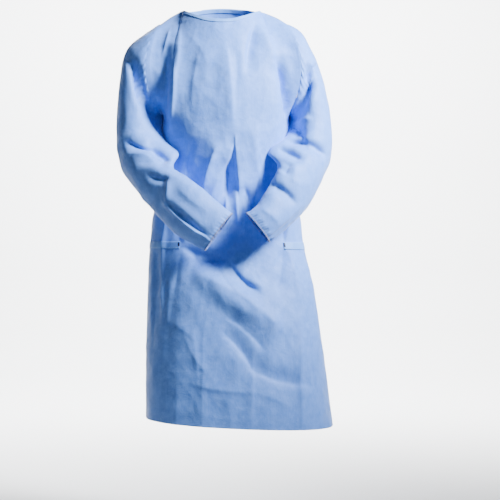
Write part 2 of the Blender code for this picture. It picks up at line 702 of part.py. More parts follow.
def neck_binding(walls):
    """A folded strip over the neck edge, with one leg outside the cloth and one inside."""
    outer_edge, outer_foot = neck_rows(walls, 0)
    inner_edge, inner_foot = neck_rows(walls, 1)
    leg = BINDING_GAP + BINDING_THICKNESS
    ups = unit(outer_edge + inner_edge - outer_foot - inner_foot)
    right_back = NECK_COLUMNS_BACK + LAP_COLUMNS
    for seam in (right_back + 1, right_back + NECK_COLUMNS_FRONT + 3):
        ups[seam - 1 : seam + 2] = unit(ups[seam - 2] + ups[seam] + ups[seam + 2])
    sections = []
    for o0, o1, i0, i1, up in zip(outer_edge, outer_foot, inner_edge, inner_foot, ups):
        across, across_foot = unit(o0 - i0), unit(o1 - i1)
        sections.append([
            o1 + across_foot * leg,
            o0 + across * leg,
            o0 + up * leg,
            i0 + up * leg,
            i0 - across * leg,
            i1 - across_foot * leg,
            i1 - across_foot * BINDING_GAP,
            i0 - across * BINDING_GAP + up * BINDING_GAP,
            o0 + across * BINDING_GAP + up * BINDING_GAP,
            o1 + across_foot * BINDING_GAP,
        ])
    # The sides that run up the cloth are cut the other way from those that run down it, and so is all
    # of the right back, whose columns come in the opposite order.
    run_up = (0, 1, 6, 7)
    closed_strip("neck_binding", sections, BLUE_TRIM, range(right_back), run_up)


def nape_fastener(walls):
    """The patch pair that holds the two laps together under the binding."""
    outer, inner = walls["back_panel_right"]
    top, foot = 1, 2
    sections = []
    for column in (-1 - LAP_COLUMNS, -LAP_COLUMNS):
        across = unit(outer[foot, column] - inner[foot, column])
        high = outer[top, column] + PATCH_BELOW_BINDING * (outer[foot, column] - outer[top, column])
        low = outer[foot, column]
        near, far = across * SEAM_GAP, across * (SEAM_GAP + PATCH_THICKNESS)
        sections.append([high + near, high + far, low + far, low + near])
    closed_strip("nape_fastener", sections, BLUE_TRIM)


def at_x(rows, x):
    """The place on each of the given rows of points where it reaches x, near the centre back."""
    order = np.argsort(rows[0, :, 0])
    return np.array([[np.interp(x, row[order, 0], row[order, k]) for k in range(3)] for row in rows])


def turn_start(side):
    """Where a tie leaves its level to turn down."""
    sign = {"right": -1.0, "left": 1.0}[side]
    return body_form(TIE_TOP_Z).centre_x + sign * (TIE_BACK_GAP + TIE_TURN_OUTER)


def tie_columns(walls, side, top):
    """The panels and columns that a tie passes from its tack to its turn at the centre back."""
    front, back, over = (walls[n][0][top, :, 0] for n in ("front_panel", "back_panel_" + side, "back_panel_left"))
    sign = {"right": -1.0, "left": 1.0}[side]
    path = [("front_panel", c) for c, x in enumerate(front) if sign * x > sign * TACK_X[side]]
    limit = sign * turn_start(side) + TURN_CLEARANCE
    if side == "left":
        return path + [("back_panel_left", c) for c, x in enumerate(back) if c > 0 and x > limit]
    path.reverse()
    path += [("back_panel_right", c) for c, x in enumerate(back) if c > 0 and x < over[-1] - LAP_CLIMB]
    return path + [("back_panel_left", c) for c, x in reversed(list(enumerate(over))) if x < -limit]


def tie_path(walls, side):
    """The cloth's points under a tie, the way out of the cloth, and the stretches that run backwards.

    A stretch runs backwards where the tie passes its panel's columns from last to first.
    """
    top = YOKE_ROWS + ROW_BANDS[0].rows + ROW_BANDS[1].rows
    rows = slice(top, top + 2)
    path = tie_columns(walls, side, top)
    first = path[0][1]
    before = first + 1 if side == "right" else first - 1
    layers = []
    for layer in (0, 1):
        front = walls["front_panel"][layer][rows]
        share = (TACK_X[side] - front[0, before, 0]) / (front[0, first, 0] - front[0, before, 0])
        tack = front[:, before] + share * (front[:, first] - front[:, before])
        line = [tack] + [walls[panel][layer][rows, c] for panel, c in path]
        line.append(at_x(walls["back_panel_left"][layer][rows, -LAP_COLUMNS - TURN_COLUMNS:], turn_start(side)))
        layers.append(np.array(line))
    backwards = [n for n, (panel, _) in enumerate(path) if side == "right" and panel != "back_panel_right"]
    if side == "right":
        backwards.append(len(path))
    return layers[0], unit(layers[0] - layers[1]), backwards


def back_depth(walls, x, z):
    """How far back the left back's outer face lies at a place near the centre back."""
    outer = walls["back_panel_left"][0]
    near = range(outer.shape[1] - LAP_COLUMNS - TURN_COLUMNS, outer.shape[1])
    found = [[np.interp(-z, -outer[:, c, 2], outer[:, c, k]) for k in (0, 1)] for c in near]
    found.sort()
    return np.interp(x, [f[0] for f in found], [f[1] for f in found])


def tail_sections(walls, side):
    """The tie's turn downwards beside the centre back, and its hanging end."""
    sign = {"right": -1.0, "left": 1.0}[side]
    pivot_x = turn_start(side)
    pivot_z = TIE_TOP_Z - TIE_TURN_OUTER
    pairs = []
    for turn in np.linspace(0.0, pi / 2.0, TIE_TURN_STEPS + 1)[1:]:
        out = np.array([-sign * np.sin(turn), np.cos(turn)])
        pairs.append([
            np.array([pivot_x, pivot_z]) + out * TIE_TURN_OUTER,
            np.array([pivot_x, pivot_z]) + out * (TIE_TURN_OUTER - TIE_WIDTH),
        ])
    for share in np.linspace(0.0, 1.0, TAIL_STEPS + 1)[1:]:
        move = np.array([sign * TAIL_SPREAD[side] * share**TAIL_CURVE, -TAIL_LENGTH[side] * share])
        pairs.append([p + move for p in pairs[TIE_TURN_STEPS - 1]])
    sections = []
    for upper, lower in pairs:
        ring = []
        for lift, order in ((TAIL_GAP, (upper, lower)), (TAIL_GAP + TIE_THICKNESS, (lower, upper))):
            for x, z in order:
                ring.append((x, back_depth(walls, x, z) + lift, z))
        sections.append(ring)
    return sections


def waist_tie(walls, side):
    """A flat strip tacked to the front, round the side to the back, and hanging from the knot."""
    points, out, backwards = tie_path(walls, side)
    near, far = points + out * TIE_GAP, points + out * (TIE_GAP + TIE_THICKNESS)
    sections = [[n[0], n[1], f[1], f[0]] for n, f in zip(near, far)]
    sections += tail_sections(walls, side)
    outside = 2
    closed_strip("waist_tie_" + side, sections, BLUE_TRIM, backwards, [outside])


def waist_knot(walls):
    """The knot of the two ties at the centre back."""
    bm = bmesh.new()
    bmesh.ops.create_cube(bm, size=1.0)
    bmesh.ops.scale(bm, vec=KNOT_SIZE, verts=bm.verts)
    bmesh.ops.bevel(bm, geom=bm.edges[:], offset=KNOT_ROUNDING, segments=3, affect="EDGES", profile=0.5)
    bmesh.ops.triangulate(bm, faces=bm.faces[:])
    x, z = body_form(TIE_TOP_Z).centre_x, TIE_TOP_Z - TIE_WIDTH / 2.0
    flat = np.linspace(-1.0, 1.0, KNOT_SAMPLES)
    across = x + flat * (KNOT_SIZE[0] / 2.0 - KNOT_ROUNDING)
    down = z + flat * (KNOT_SIZE[2] / 2.0 - KNOT_ROUNDING)
    seat = max(back_depth(walls, a, d) for a in across for d in down)
    y = seat + TAIL_GAP + TIE_THICKNESS + SEAM_GAP + KNOT_SIZE[1] / 2.0
    bmesh.ops.translate(bm, vec=(x, y, z), verts=bm.verts)
    object_from("waist_knot", bm, BLUE_TRIM)


def build():
    for old in list(bpy.data.objects):
        bpy.data.objects.remove(old, do_unlink=True)
    grids, normals = folded_grids()
    for side in ("right", "left"):
        split_cuff(side, grids, normals)
    walls = cloth_walls(grids, normals)
    for name, (outer, inner) in walls.items():
        wall_object(name, outer, inner, is_ring(name), BLUE_CLOTH)
    neck_binding(walls)
    nape_fastener(walls)
    for side in ("right", "left"):
        waist_tie(walls, side)
    waist_knot(walls)


build()
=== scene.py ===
from collections import namedtuple
from math import pi

import bpy
import numpy as np
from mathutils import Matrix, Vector


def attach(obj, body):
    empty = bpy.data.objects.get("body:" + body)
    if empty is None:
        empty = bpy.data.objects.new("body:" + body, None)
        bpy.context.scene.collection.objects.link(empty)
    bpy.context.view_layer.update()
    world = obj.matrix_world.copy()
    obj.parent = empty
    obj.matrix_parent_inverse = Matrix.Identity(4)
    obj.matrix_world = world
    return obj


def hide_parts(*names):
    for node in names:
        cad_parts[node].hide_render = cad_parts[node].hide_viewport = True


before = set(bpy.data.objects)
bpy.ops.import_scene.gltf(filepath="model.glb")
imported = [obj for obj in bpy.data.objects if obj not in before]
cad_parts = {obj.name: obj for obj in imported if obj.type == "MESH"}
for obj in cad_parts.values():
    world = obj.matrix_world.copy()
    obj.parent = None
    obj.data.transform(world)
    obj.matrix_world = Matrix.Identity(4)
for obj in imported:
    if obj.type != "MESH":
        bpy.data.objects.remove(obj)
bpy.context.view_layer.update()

# Front panel. One piece of smooth blue spunbond nonwoven, cut with both armholes, the shoulders and
# a shallow round neck. It hangs from the shoulders, is drawn in at the waist by the ties, and
# flares to a plain cut hem.

NECK_HALF_WIDTH = 0.108
NECK_MIDDLE_X = -0.006
NECK_SIDE_Z = 0.001
NECK_FRONT_Y = -0.088
NECK_FRONT_Z = -0.036
SHOULDER_X = 0.176
SHOULDER_Z = -0.034
SHOULDER_CROWN = 0.004
UNDERARM_X = 0.183
UNDERARM_Z = -0.288
ARMHOLE_BULGE = 0.034
ARMHOLE_HALF_DEPTH = 0.074
ARMHOLE_REACH = 3.0
CHEST_FULLNESS = 0.004
YOKE_SLOPE = 0.7
UNDERARM_DIP = 0.030
DIP_DEPTH = 0.151
BINDING_SHARE = 0.042
BINDING_ROW_SHARE = 1.0 / 12.0
TIE_TOP_Z = -0.644
TIE_WIDTH = 0.020
HEM_Z = -1.143
HEM_TILT = -0.044

# The wearer's right lies at negative x
SIDE_SIGN = {"right": -1.0, "left": 1.0}

# Columns and rows of the fine cloth
SHOULDER_COLUMNS = 48
NECK_COLUMNS_FRONT = 128
YOKE_ROWS = 96
DENSE = 961

BodySection = namedtuple("BodySection", "z half_width front back centre_x squareness")
BODY_SECTIONS = (
    BodySection(-0.288, 0.175, 0.124, 0.110, 0.006, 2.5),
    BodySection(-0.350, 0.178, 0.125, 0.110, 0.004, 2.1),
    BodySection(-0.430, 0.169, 0.119, 0.106, 0.003, 1.95),
    BodySection(-0.490, 0.171, 0.112, 0.102, 0.004, 2.0),
    BodySection(-0.560, 0.203, 0.106, 0.102, 0.007, 2.3),
    BodySection(-0.644, 0.214, 0.107, 0.104, 0.008, 2.35),
    BodySection(-0.664, 0.217, 0.110, 0.106, 0.009, 2.35),
    BodySection(-0.760, 0.231, 0.140, 0.138, 0.018, 2.3),
    BodySection(-0.900, 0.244, 0.158, 0.158, 0.027, 2.3),
    BodySection(-1.143, 0.262, 0.178, 0.180, 0.043, 2.3),
)
RowBand = namedtuple("RowBand", "top bottom rows")
ROW_BANDS = (
    RowBand(UNDERARM_Z, -0.560, 72),
    RowBand(-0.560, TIE_TOP_Z, 24),
    RowBand(TIE_TOP_Z, TIE_TOP_Z - TIE_WIDTH, 8),
    RowBand(TIE_TOP_Z - TIE_WIDTH, HEM_Z, 112),
)
TIE_ROW = YOKE_ROWS + ROW_BANDS[0].rows + ROW_BANDS[1].rows
TIE_ROWS = ROW_BANDS[2].rows


def smooth_step(x):
    x = np.clip(x, 0.0, 1.0)
    return x * x * (3.0 - 2.0 * x)


def unit(v):
    return v / np.maximum(np.linalg.norm(v, axis=-1, keepdims=True), 1e-12)


def full_turn(steps):
    return np.linspace(0.0, 2.0 * pi, steps, endpoint=False)


def curve_through(knots, values, at):
    """A smooth curve through values at the knots, read at each place in at."""
    knots, values, at = (np.asarray(a, float) for a in (knots, values, at))
    slopes = np.gradient(values, knots, axis=0)
    i = np.clip(np.searchsorted(knots, at) - 1, 0, len(knots) - 2)
    shape = (-1,) + (1,) * (values.ndim - 1)
    step = (knots[i + 1] - knots[i]).reshape(shape)
    t = ((at - knots[i]) / (knots[i + 1] - knots[i])).reshape(shape)
    return (
        (2 * t**3 - 3 * t**2 + 1) * values[i]
        + (t**3 - 2 * t**2 + t) * step * slopes[i]
        + (3 * t**2 - 2 * t**3) * values[i + 1]
        + (t**3 - t**2) * step * slopes[i + 1]
    )


def distances_along(line):
    return np.concatenate([[0.0], np.cumsum(np.linalg.norm(np.diff(line, axis=0), axis=1))])


def at_distances(line, distances):
    """The points of a polyline at the given distances from its start, and its whole length."""
    along = distances_along(line)
    return np.stack([np.interp(distances, along, line[:, k]) for k in range(3)], axis=1), along[-1]


def evenly(line, columns):
    length = at_distances(line, [0.0])[1]
    return at_distances(line, np.linspace(0.0, length, columns + 1))[0]


def body_arc(z, start, end):
    """The body's outline at a level between two angles. 0 is the front middle, 90 the wearer's left."""
    levels = [-s.z for s in BODY_SECTIONS]
    form = BodySection(z, *curve_through(levels, [s[1:] for s in BODY_SECTIONS], [-z])[0])
    angle = np.radians(np.linspace(start, end, DENSE))
    power = 2.0 / form.squareness
    across, ahead = np.sin(angle), np.cos(angle)
    x = form.centre_x + form.half_width * np.sign(across) * np.abs(across) ** power
    y = np.where(ahead > 0, -form.front, form.back) * np.abs(ahead) ** power
    share = np.clip((z - UNDERARM_Z) / (HEM_Z - UNDERARM_Z), 0.0, 1.0)
    drop = HEM_TILT * (x - BODY_SECTIONS[-1].centre_x) * share**2
    return np.stack([x, y, z + drop], axis=1)


def armhole(side):
    """The armhole's ring of points: top, front, underarm, back."""
    sign = SIDE_SIGN[side]
    turn = full_turn(2 * YOKE_ROWS)
    height = np.cos(turn)
    middle, lean = (SHOULDER_X + UNDERARM_X) / 2.0, (SHOULDER_X - UNDERARM_X) / 2.0
    x = sign * (middle + lean * height + ARMHOLE_BULGE * (1.0 - height**2))
    y = -ARMHOLE_HALF_DEPTH * np.sin(turn)
    z = (SHOULDER_Z + UNDERARM_Z) / 2.0 + (SHOULDER_Z - UNDERARM_Z) / 2.0 * height
    return np.stack([x, y, z], axis=1)


def shoulder_line(side):
    sign = SIDE_SIGN[side]
    t = np.linspace(0.0, 1.0, SHOULDER_COLUMNS + 1)
    neck_x = NECK_MIDDLE_X + sign * NECK_HALF_WIDTH
    x = sign * SHOULDER_X + (neck_x - sign * SHOULDER_X) * t
    z = SHOULDER_Z + (NECK_SIDE_Z - SHOULDER_Z) * t + SHOULDER_CROWN * np.sin(pi * t)
    return np.stack([x, np.zeros_like(t), z], axis=1)


def neck_arc(reach_y, middle_z, start, end):
    angle = np.radians(np.linspace(start, end, DENSE))
    x = NECK_MIDDLE_X + NECK_HALF_WIDTH * np.sin(angle)
    z = NECK_SIDE_Z + (middle_z - NECK_SIDE_Z) * np.cos(angle) ** 2
    return np.stack([x, reach_y * np.cos(angle), z], axis=1)


def row_levels():
    levels = [UNDERARM_Z]
    for band in ROW_BANDS:
        levels += list(np.linspace(band.top, band.bottom, band.rows + 1)[1:])
    return levels


def yoke_shares(v):
    out = np.sin(pi / 2.0 * v)
    return np.stack([out, out, v * (YOKE_SLOPE + (1.0 - YOKE_SLOPE) * v)], axis=-1)


def yoke(top, bottom, sides, near_armhole):
    """Rows from the shoulders and neck, round the top of the chest, down to the underarm."""
    grid = []
    for row in range(YOKE_ROWS + 1):
        even = row / YOKE_ROWS
        below = np.interp(even, [0.0, BINDING_ROW_SHARE, 1.0], [0.0, BINDING_SHARE, 1.0])
        shares = yoke_shares(below + (even - below) * near_armhole)
        line = (1.0 - shares) * top + shares * bottom
        for share, edge in sides:
            plain = (1.0 - yoke_shares(even)) * edge[0] + yoke_shares(even) * edge[-1]
            line = line + share[:, None] * (edge[row] - plain)
        grid.append(line)
    return np.array(grid)


def dipped(rows, levels, from_side):
    for row, level in zip(rows, levels):
        depth = np.clip(1.0 - (UNDERARM_Z - level) / DIP_DEPTH, 0.0, 1.0)
        row[:, 2] -= UNDERARM_DIP * (1.0 - from_side**6) * depth
    return rows


def front_grid():
    half = SHOULDER_COLUMNS + NECK_COLUMNS_FRONT // 2
    neck = evenly(neck_arc(NECK_FRONT_Y, NECK_FRONT_Z, -90, 90), NECK_COLUMNS_FRONT)
    top = np.vstack([shoulder_line("right")[:-1], neck, shoulder_line("left")[::-1][1:]])
    u = np.linspace(-1.0, 1.0, 2 * half + 1)
    levels = row_levels()
    rows = dipped([evenly(body_arc(z, -90, 90), 2 * half) for z in levels], levels, np.abs(u))
    rows[0][0], rows[0][-1] = armhole("right")[YOKE_ROWS], armhole("left")[YOKE_ROWS]
    sides = [
        (np.clip(-u, 0, 1) ** ARMHOLE_REACH, armhole("right")[: YOKE_ROWS + 1]),
        (np.clip(u, 0, 1) ** ARMHOLE_REACH, armhole("left")[: YOKE_ROWS + 1]),
    ]
    near = np.clip((np.abs(u) * half - NECK_COLUMNS_FRONT / 2.0) / SHOULDER_COLUMNS, 0.0, 1.0)
    grid = np.vstack([yoke(top, rows[0], sides, near), rows[1:]])
    v = np.linspace(0.0, 1.0, YOKE_ROWS + 1)[:, None]
    grid[: YOKE_ROWS + 1, :, 1] -= CHEST_FULLNESS * np.sin(pi * v) * (1.0 - u**4)
    return grid


def grid_normals(grid, outward, closed=False):
    """The way out of the cloth at each point. outward is 1 or -1 for the grid's own sense."""
    if closed:
        across = np.roll(grid, -1, axis=1) - np.roll(grid, 1, axis=1)
    else:
        across = np.gradient(grid, axis=1)
    return unit(np.cross(np.gradient(grid, axis=0), across)) * outward


def sense_of(grid, outward, closed=False):
    """1 if the grid's own normals point outward, otherwise -1."""
    return 1.0 if np.sum(grid_normals(grid, 1.0, closed) * outward) > 0 else -1.0


def in_metres(kind, *rows):
    """Rows given in millimetres, as named tuples in metres. A crease's lean is a plain share."""

    def metres(name, value):
        return value if name == "lean" else np.divide(value, 1000.0)

    return [kind(*map(metres, kind._fields, row)) for row in rows]


# Broad folds, each along a line seen from the front or back. A positive height is a ridge.
Fold = namedtuple("Fold", "x0 z0 x1 z1 width height")
BODY_FOLDS_FRONT = in_metres(
    Fold,
    (-126, -60, -134, -300, 20, 7),
    (-119, -8, -121, -44, 12, 5),
    (-160, -120, -166, -300, 17, -12),
    (84, -55, 72, -165, 17, -5),
    (108, -60, 140, -150, 18, 6),
    (152, -150, 174, -285, 15, -10),
    (18, -100, 19, -390, 34, 5),
    (30, -385, 4, -520, 22, -13),
    (-22, -396, -58, -510, 18, 8),
    (62, -510, 105, -550, 20, -8),
    (-128, -354, -128, -440, 24, -8),
    (-75, -685, 10, -710, 24, -9),
    (-52, -742, 130, -872, 30, 19),
    (60, -700, 185, -790, 30, -8),
    (30, -740, 95, -785, 18, -7),
    (14, -880, 90, -980, 22, -6),
    (90, -985, 230, -1030, 22, -6),
    (-180, -680, -178, -860, 20, -9),
    (205, -800, 212, -1130, 24, 7),
    (-110, -800, -120, -1130, 34, 2),
)

# Creases have a sharp crest. bow bends them sideways, and lean makes one flank steeper.
Crease = namedtuple("Crease", "x0 z0 x1 z1 bow width lean height")
CREASES_FRONT = in_metres(
    Crease,
    (-119, -58, -126, -185, 3, 11, -0.55, 4),
    (-128, -170, -142, -320, 4, 12, -0.65, 5.8),
    (-150, -60, -168, -130, 2, 7, 0.3, 3.5),
    (88, -48, 66, -175, -6, 10, 0.55, -4.8),
    (35, -130, 33, -225, 3, 12, -0.2, -2.4),
    (96, -52, 142, -160, 6, 12, -0.3, 4.2),
    (145, -148, 180, -308, 6, 8.5, 0.55, -10),
    (6, -110, 24, -330, 6, 18, -0.55, 3.6),
    (-60, -120, -82, -290, -8, 16, 0.4, 2.2),
    (-95, -75, -40, -165, 6, 14, 0.2, 1.6),
    (34, -366, 44, -505, -2, 8, 0.75, 6.4),
    (30, -372, -30, -512, 4, 9, -0.55, 7),
    (14, -430, 10, -530, 0, 12, 0, -8),
    (-20, -396, -56, -520, -4, 10, 0.5, 6),
    (-85, -372, -100, -470, -6, 14, 0.2, -4.5),
    (90, -330, 112, -520, -10, 16, -0.3, 3.4),
    (60, -500, 78, -560, 2, 8, 0.2, -6),
    (98, -470, 80, -585, 0, 9, 0.4, -6.5),
    (112, -505, 112, -600, 2, 8, -0.2, 5),
    (8, -520, 2, -600, 2, 6, 0.2, 5),
    (36, -515, 44, -605, -2, 6, -0.3, 5),
    (60, -540, 56, -620, 1, 6, 0.1, 3.8),
    (-30, -530, -22, -620, 1, 7, 0.1, -4),
    (-110, -560, -104, -642, 1, 6, 0.2, 3),
    (-130, -540, -120, -640, 1, 7, 0.1, -3.6),
    (166, -560, 164, -642, 1, 6, 0.1, -3.4),
    (182, -560, 172, -640, 1, 6, 0.3, 2.8),
    (-117, -655, -60, -705, 4, 12, 0.3, -4),
    (-98, -664, 4, -690, -4, 14, -0.4, -6),
    (-117, -668, -138, -780, 2, 9, 0.1, -2.6),
    (164, -668, 150, -770, 3, 10, -0.2, -2.8),
    (164, -668, 120, -735, 4, 10, 0.2, -2.6),
    (176, -668, 206, -800, 6, 12, 0.3, 3),
    (-54, -736, 162, -886, 16, 20, 0.35, 5.6),
    (-10, -724, 70, -812, -8, 14, -0.4, -3.6),
    (18, -700, 94, -776, -7, 10, -0.55, -6.4),
    (70, -748, 110, -768, 3, 8, 0.2, 3),
    (12, -846, 112, -934, 6, 9, 0.45, -2.6),
    (6, -892, 82, -990, 6, 10, 0.5, -3.2),
    (78, -986, 240, -1032, -10, 11, 0.5, -3.6),
    (-74, -1028, 72, -1046, -4, 9, 0.3, 2.6),
    (72, -1046, 180, -1086, 6, 10, 0.1, 1.8),
    (-82, -880, -68, -1030, 4, 10, -0.1, 1.8),
    (-120, -730, -150, -960, -8, 18, 0.2, -2.8),
    (-150, -860, -78, -905, 6, 11, 0.1, 1.6),
    (-100, -905, -40, -1000, -5, 10, 0.2, 1.8),
    (207, -900, 211, -1150, 0, 7, 0.2, 2.8),
    (80, -940, 78, -1150, 0, 8, -0.2, 1.4),
    (-52, -880, -56, -1140, 0, 7, 0.2, 1.2),
    (-160, -590, -172, -840, -4, 10, -0.55, 5.8),
    (-188, -690, -196, -960, -3, 12, 0.35, -4.6),
    (226, -700, 262, -1000, 6, 14, 0.2, 3),
)
FOLD_END_HEIGHT = 0.35
FOLD_END_SHARE = 0.08
CREASE_GAIN = 1.5
CREST_ROUNDING = 0.35
CREASE_TAIL = 0.18
CREASE_RISE = 0.45
LEAN_WIDTH = 0.3
FACING_GAIN = 3.0


def fold_height(points, folds):
    """The summed height of broad folds at each point, by its place seen from the front."""
    height = np.zeros(points.shape[:-1])
    flat = points[..., [0, 2]]
    for fold in folds:
        start, run = np.array([fold.x0, fold.z0]), np.array([fold.x1 - fold.x0, fold.z1 - fold.z0])
        share = np.clip(((flat - start) @ run) / (run @ run), 0.0, 1.0)
        away = np.linalg.norm(flat - (start + share[..., None] * run), axis=-1)
        middle = np.sin(pi * np.clip(share, FOLD_END_SHARE, 1.0 - FOLD_END_SHARE))
        taper = FOLD_END_HEIGHT + (1.0 - FOLD_END_HEIGHT) * middle
        height += fold.height * taper * np.exp(-((away / fold.width) ** 2))
    return height


def crease_height(points, creases):
    """The summed height of sharp creases at each point, by its place seen from the front."""
    height = np.zeros(points.shape[:-1])
    flat = points[..., [0, 2]]
    for crease in creases:
        start = np.array([crease.x0, crease.z0])
        run = np.array([crease.x1 - crease.x0, crease.z1 - crease.z0])
        length = np.linalg.norm(run)
        along = run / length
        share = ((flat - start) @ along) / length
        side = (flat - start) @ np.array([-along[1], along[0]])
        side = side - crease.bow * 4.0 * np.clip(share * (1.0 - share), 0.0, None)
        width = crease.width * (1.0 + crease.lean * np.tanh(side / (LEAN_WIDTH * crease.width)))
        crest = np.exp(CREST_ROUNDING - np.sqrt((side / width) ** 2 + CREST_ROUNDING**2))
        start_rise = smooth_step((share + CREASE_TAIL) / CREASE_RISE)
        end_rise = smooth_step((1.0 + CREASE_TAIL - share) / CREASE_RISE)
        height += crease.height * crest * start_rise * end_rise
    return height


def relief(points, folds, creases, gain=CREASE_GAIN):
    return fold_height(points, folds) + gain * crease_height(points, creases)


# Fine crumples of stiff thin cloth: straight low waves that cross one another, laid out by a fixed rule
CRUMPLE_WAVES = 26
CRUMPLE_HEIGHT = 0.00036
CRUMPLE_FULL_PITCH = 0.05
CRUMPLE_PITCHES = (0.022, 0.085)
CRUMPLE_PATCH_PITCH = 0.31
CRUMPLE_HEADINGS = np.array([1.0, 1.0, 0.55])


def crumples(points, seed):
    """Small uneven waves over the cloth, in the directions that packed and handled cloth takes."""
    rng = np.random.default_rng(seed)
    total = np.zeros(points.shape[:-1])
    for _ in range(CRUMPLE_WAVES):
        heading = unit(rng.normal(size=3) * CRUMPLE_HEADINGS)
        pitch = rng.uniform(*CRUMPLE_PITCHES)
        place = points @ heading * 2.0 * pi / pitch + rng.uniform(0.0, 2.0 * pi)
        patch_heading = unit(rng.normal(size=3))
        patch = points @ patch_heading * 2.0 * pi / CRUMPLE_PATCH_PITCH + rng.uniform(0.0, 2.0 * pi)
        ridge = 1.0 - 2.0 * np.abs(np.sin(place / 2.0))
        total += ridge * np.clip(np.sin(patch), 0.0, 1.0) * pitch / CRUMPLE_FULL_PITCH
    return total * CRUMPLE_HEIGHT


def add_object(name, data):
    made = bpy.data.objects.new(name, data)
    bpy.context.scene.collection.objects.link(made)
    return made


def cloth_mesh(name, grid, outward, paint, closed=False):
    """A sheet of quads through a grid of points, with its columns and rows as UV in metres."""
    rows, columns = grid.shape[:2]
    number = np.arange(rows * columns).reshape(rows, columns)
    if closed:
        number = np.concatenate([number, number[:, :1]], axis=1)
    a, b, c, d = number[:-1, :-1], number[:-1, 1:], number[1:, 1:], number[1:, :-1]
    order = (a, d, c, b) if outward > 0 else (a, b, c, d)
    faces = np.stack(order, axis=-1).reshape(-1, 4)
    mesh = bpy.data.meshes.new(name)
    mesh.from_pydata(grid.reshape(-1, 3).tolist(), [], faces.tolist())
    mesh.validate()
    mesh.shade_smooth()
    mesh.materials.append(paint)
    across, down = distances_along(grid.mean(axis=0)), distances_along(grid.mean(axis=1))
    places = np.stack(np.meshgrid(across, down), axis=-1).reshape(-1, 2)
    layer = mesh.uv_layers.new(name="cloth")
    corners = np.empty(len(mesh.loops), dtype=np.int32)
    mesh.loops.foreach_get("vertex_index", corners)
    layer.data.foreach_set("uv", places[corners].astype(np.float32).ravel())
    return add_object(name, mesh)


def set_inputs(tree, node, inputs):
    """Links each input that a socket is given for, and sets the others to their values."""
    for name, value in inputs.items():
        if isinstance(value, bpy.types.NodeSocket):
            tree.links.new(value, node.inputs[name])
        else:
            node.inputs[name].default_value = value


def add_node(tree, kind, inputs, **settings):
    """A new node with its settings made first, and then its inputs."""
    made = tree.nodes.new(kind)
    for name, value in settings.items():
        setattr(made, name, value)
    set_inputs(tree, made, inputs)
    return made


def nonwoven(name, deep, light, rough=0.62, crumple=0.35):
    """Smooth spunbond cloth: point-bonded, faintly streaked along the roll, with a soft sheen."""
    made = bpy.data.materials.new(name)
    made.use_nodes = True
    tree = made.node_tree
    place = add_node(tree, "ShaderNodeTexCoord", {})
    at_place = {"Vector": place.outputs["Object"]}
    cloudy = {"Scale": 55.0, "Detail": 5.0, "Roughness": 0.65}
    mottle = add_node(tree, "ShaderNodeTexNoise", {**at_place, **cloudy})
    stretch = add_node(tree, "ShaderNodeMapping", {**at_place, "Scale": (420.0, 420.0, 9.0)})
    streaky = {"Vector": stretch.outputs["Vector"], "Scale": 1.0, "Detail": 2.0}
    streak = add_node(tree, "ShaderNodeTexNoise", streaky)
    terms = {0: streak.outputs["Fac"], 1: 0.45, 2: mottle.outputs["Fac"]}
    both = add_node(tree, "ShaderNodeMath", terms, operation="MULTIPLY_ADD")
    ramp = add_node(tree, "ShaderNodeValToRGB", {"Fac": both.outputs["Value"]})
    for end, position, colour in zip(ramp.color_ramp.elements, (0.45, 0.95), (deep, light)):
        end.position, end.color = position, (*colour, 1.0)
    bonds = add_node(tree, "ShaderNodeTexVoronoi", {**at_place, "Scale": 650.0, "Randomness": 0.25})
    bond_relief = {"Height": bonds.outputs["Distance"], "Strength": 0.10, "Distance": 0.0002}
    bond_bump = add_node(tree, "ShaderNodeBump", bond_relief)
    uneven = {"Scale": 24.0, "Detail": 5.0, "Roughness": 0.55, "Distortion": 0.6}
    rumple = add_node(tree, "ShaderNodeTexNoise", {**at_place, **uneven})
    rumple_relief = {"Height": rumple.outputs["Fac"], "Strength": crumple, "Distance": 0.006}
    rumple_relief["Normal"] = bond_bump.outputs["Normal"]
    rumple_bump = add_node(tree, "ShaderNodeBump", rumple_relief)
    surface = {
        "Base Color": ramp.outputs["Color"],
        "Normal": rumple_bump.outputs["Normal"],
        "Roughness": rough,
        "Specular IOR Level": 0.35,
        "Sheen Weight": 0.30,
        "Sheen Roughness": 0.45,
        "Sheen Tint": (0.80, 0.88, 1.0, 1.0),
    }
    set_inputs(tree, tree.nodes["Principled BSDF"], surface)
    return made


def from_edges(grid, columns):
    """Each point's distances along its row from the columns that are sewn edges."""
    return [np.linalg.norm(grid - grid[:, column][:, None], axis=2) for column in columns]


def edge_valley(grid, normals, distances, depth=0.0012, width=0.004):
    """Draws the cloth in along its sewn edges, as a seam does."""
    for away in distances:
        grid = grid - normals * (depth * np.exp(-away / width))[..., None]
    return grid


def armhole_fade(grid, columns, reach=0.030):
    """0 along the armhole edges of a body panel, 1 away from them."""
    return np.prod([smooth_step(away / reach) for away in from_edges(grid, columns)], axis=0)


blue_cloth = nonwoven("blue_nonwoven", deep=(0.082, 0.238, 0.760), light=(0.134, 0.318, 0.885))
front_base = front_grid()
front_sense = sense_of(front_base, np.array([0.0, -1.0, 0.0]))
front_normals = grid_normals(front_base, front_sense)
facing = smooth_step(-front_normals[..., 1] * FACING_GAIN)
lift = relief(front_base, BODY_FOLDS_FRONT, CREASES_FRONT) * facing + crumples(front_base, seed=3)
lift *= armhole_fade(front_base, (0, -1))
front_cloth = front_base + front_normals * lift[..., None]
front_normals = grid_normals(front_cloth, front_sense)
front_cloth = edge_valley(front_cloth, front_normals, from_edges(front_cloth, (0, -1)))
front = cloth_mesh("front", front_cloth, front_sense, blue_cloth)
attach(front, "root")
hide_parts("front_panel")

# Back panels. Two pieces of the same cloth, sewn to the front at the shoulders and sides. The left
# one lies over the right one at the open centre back.

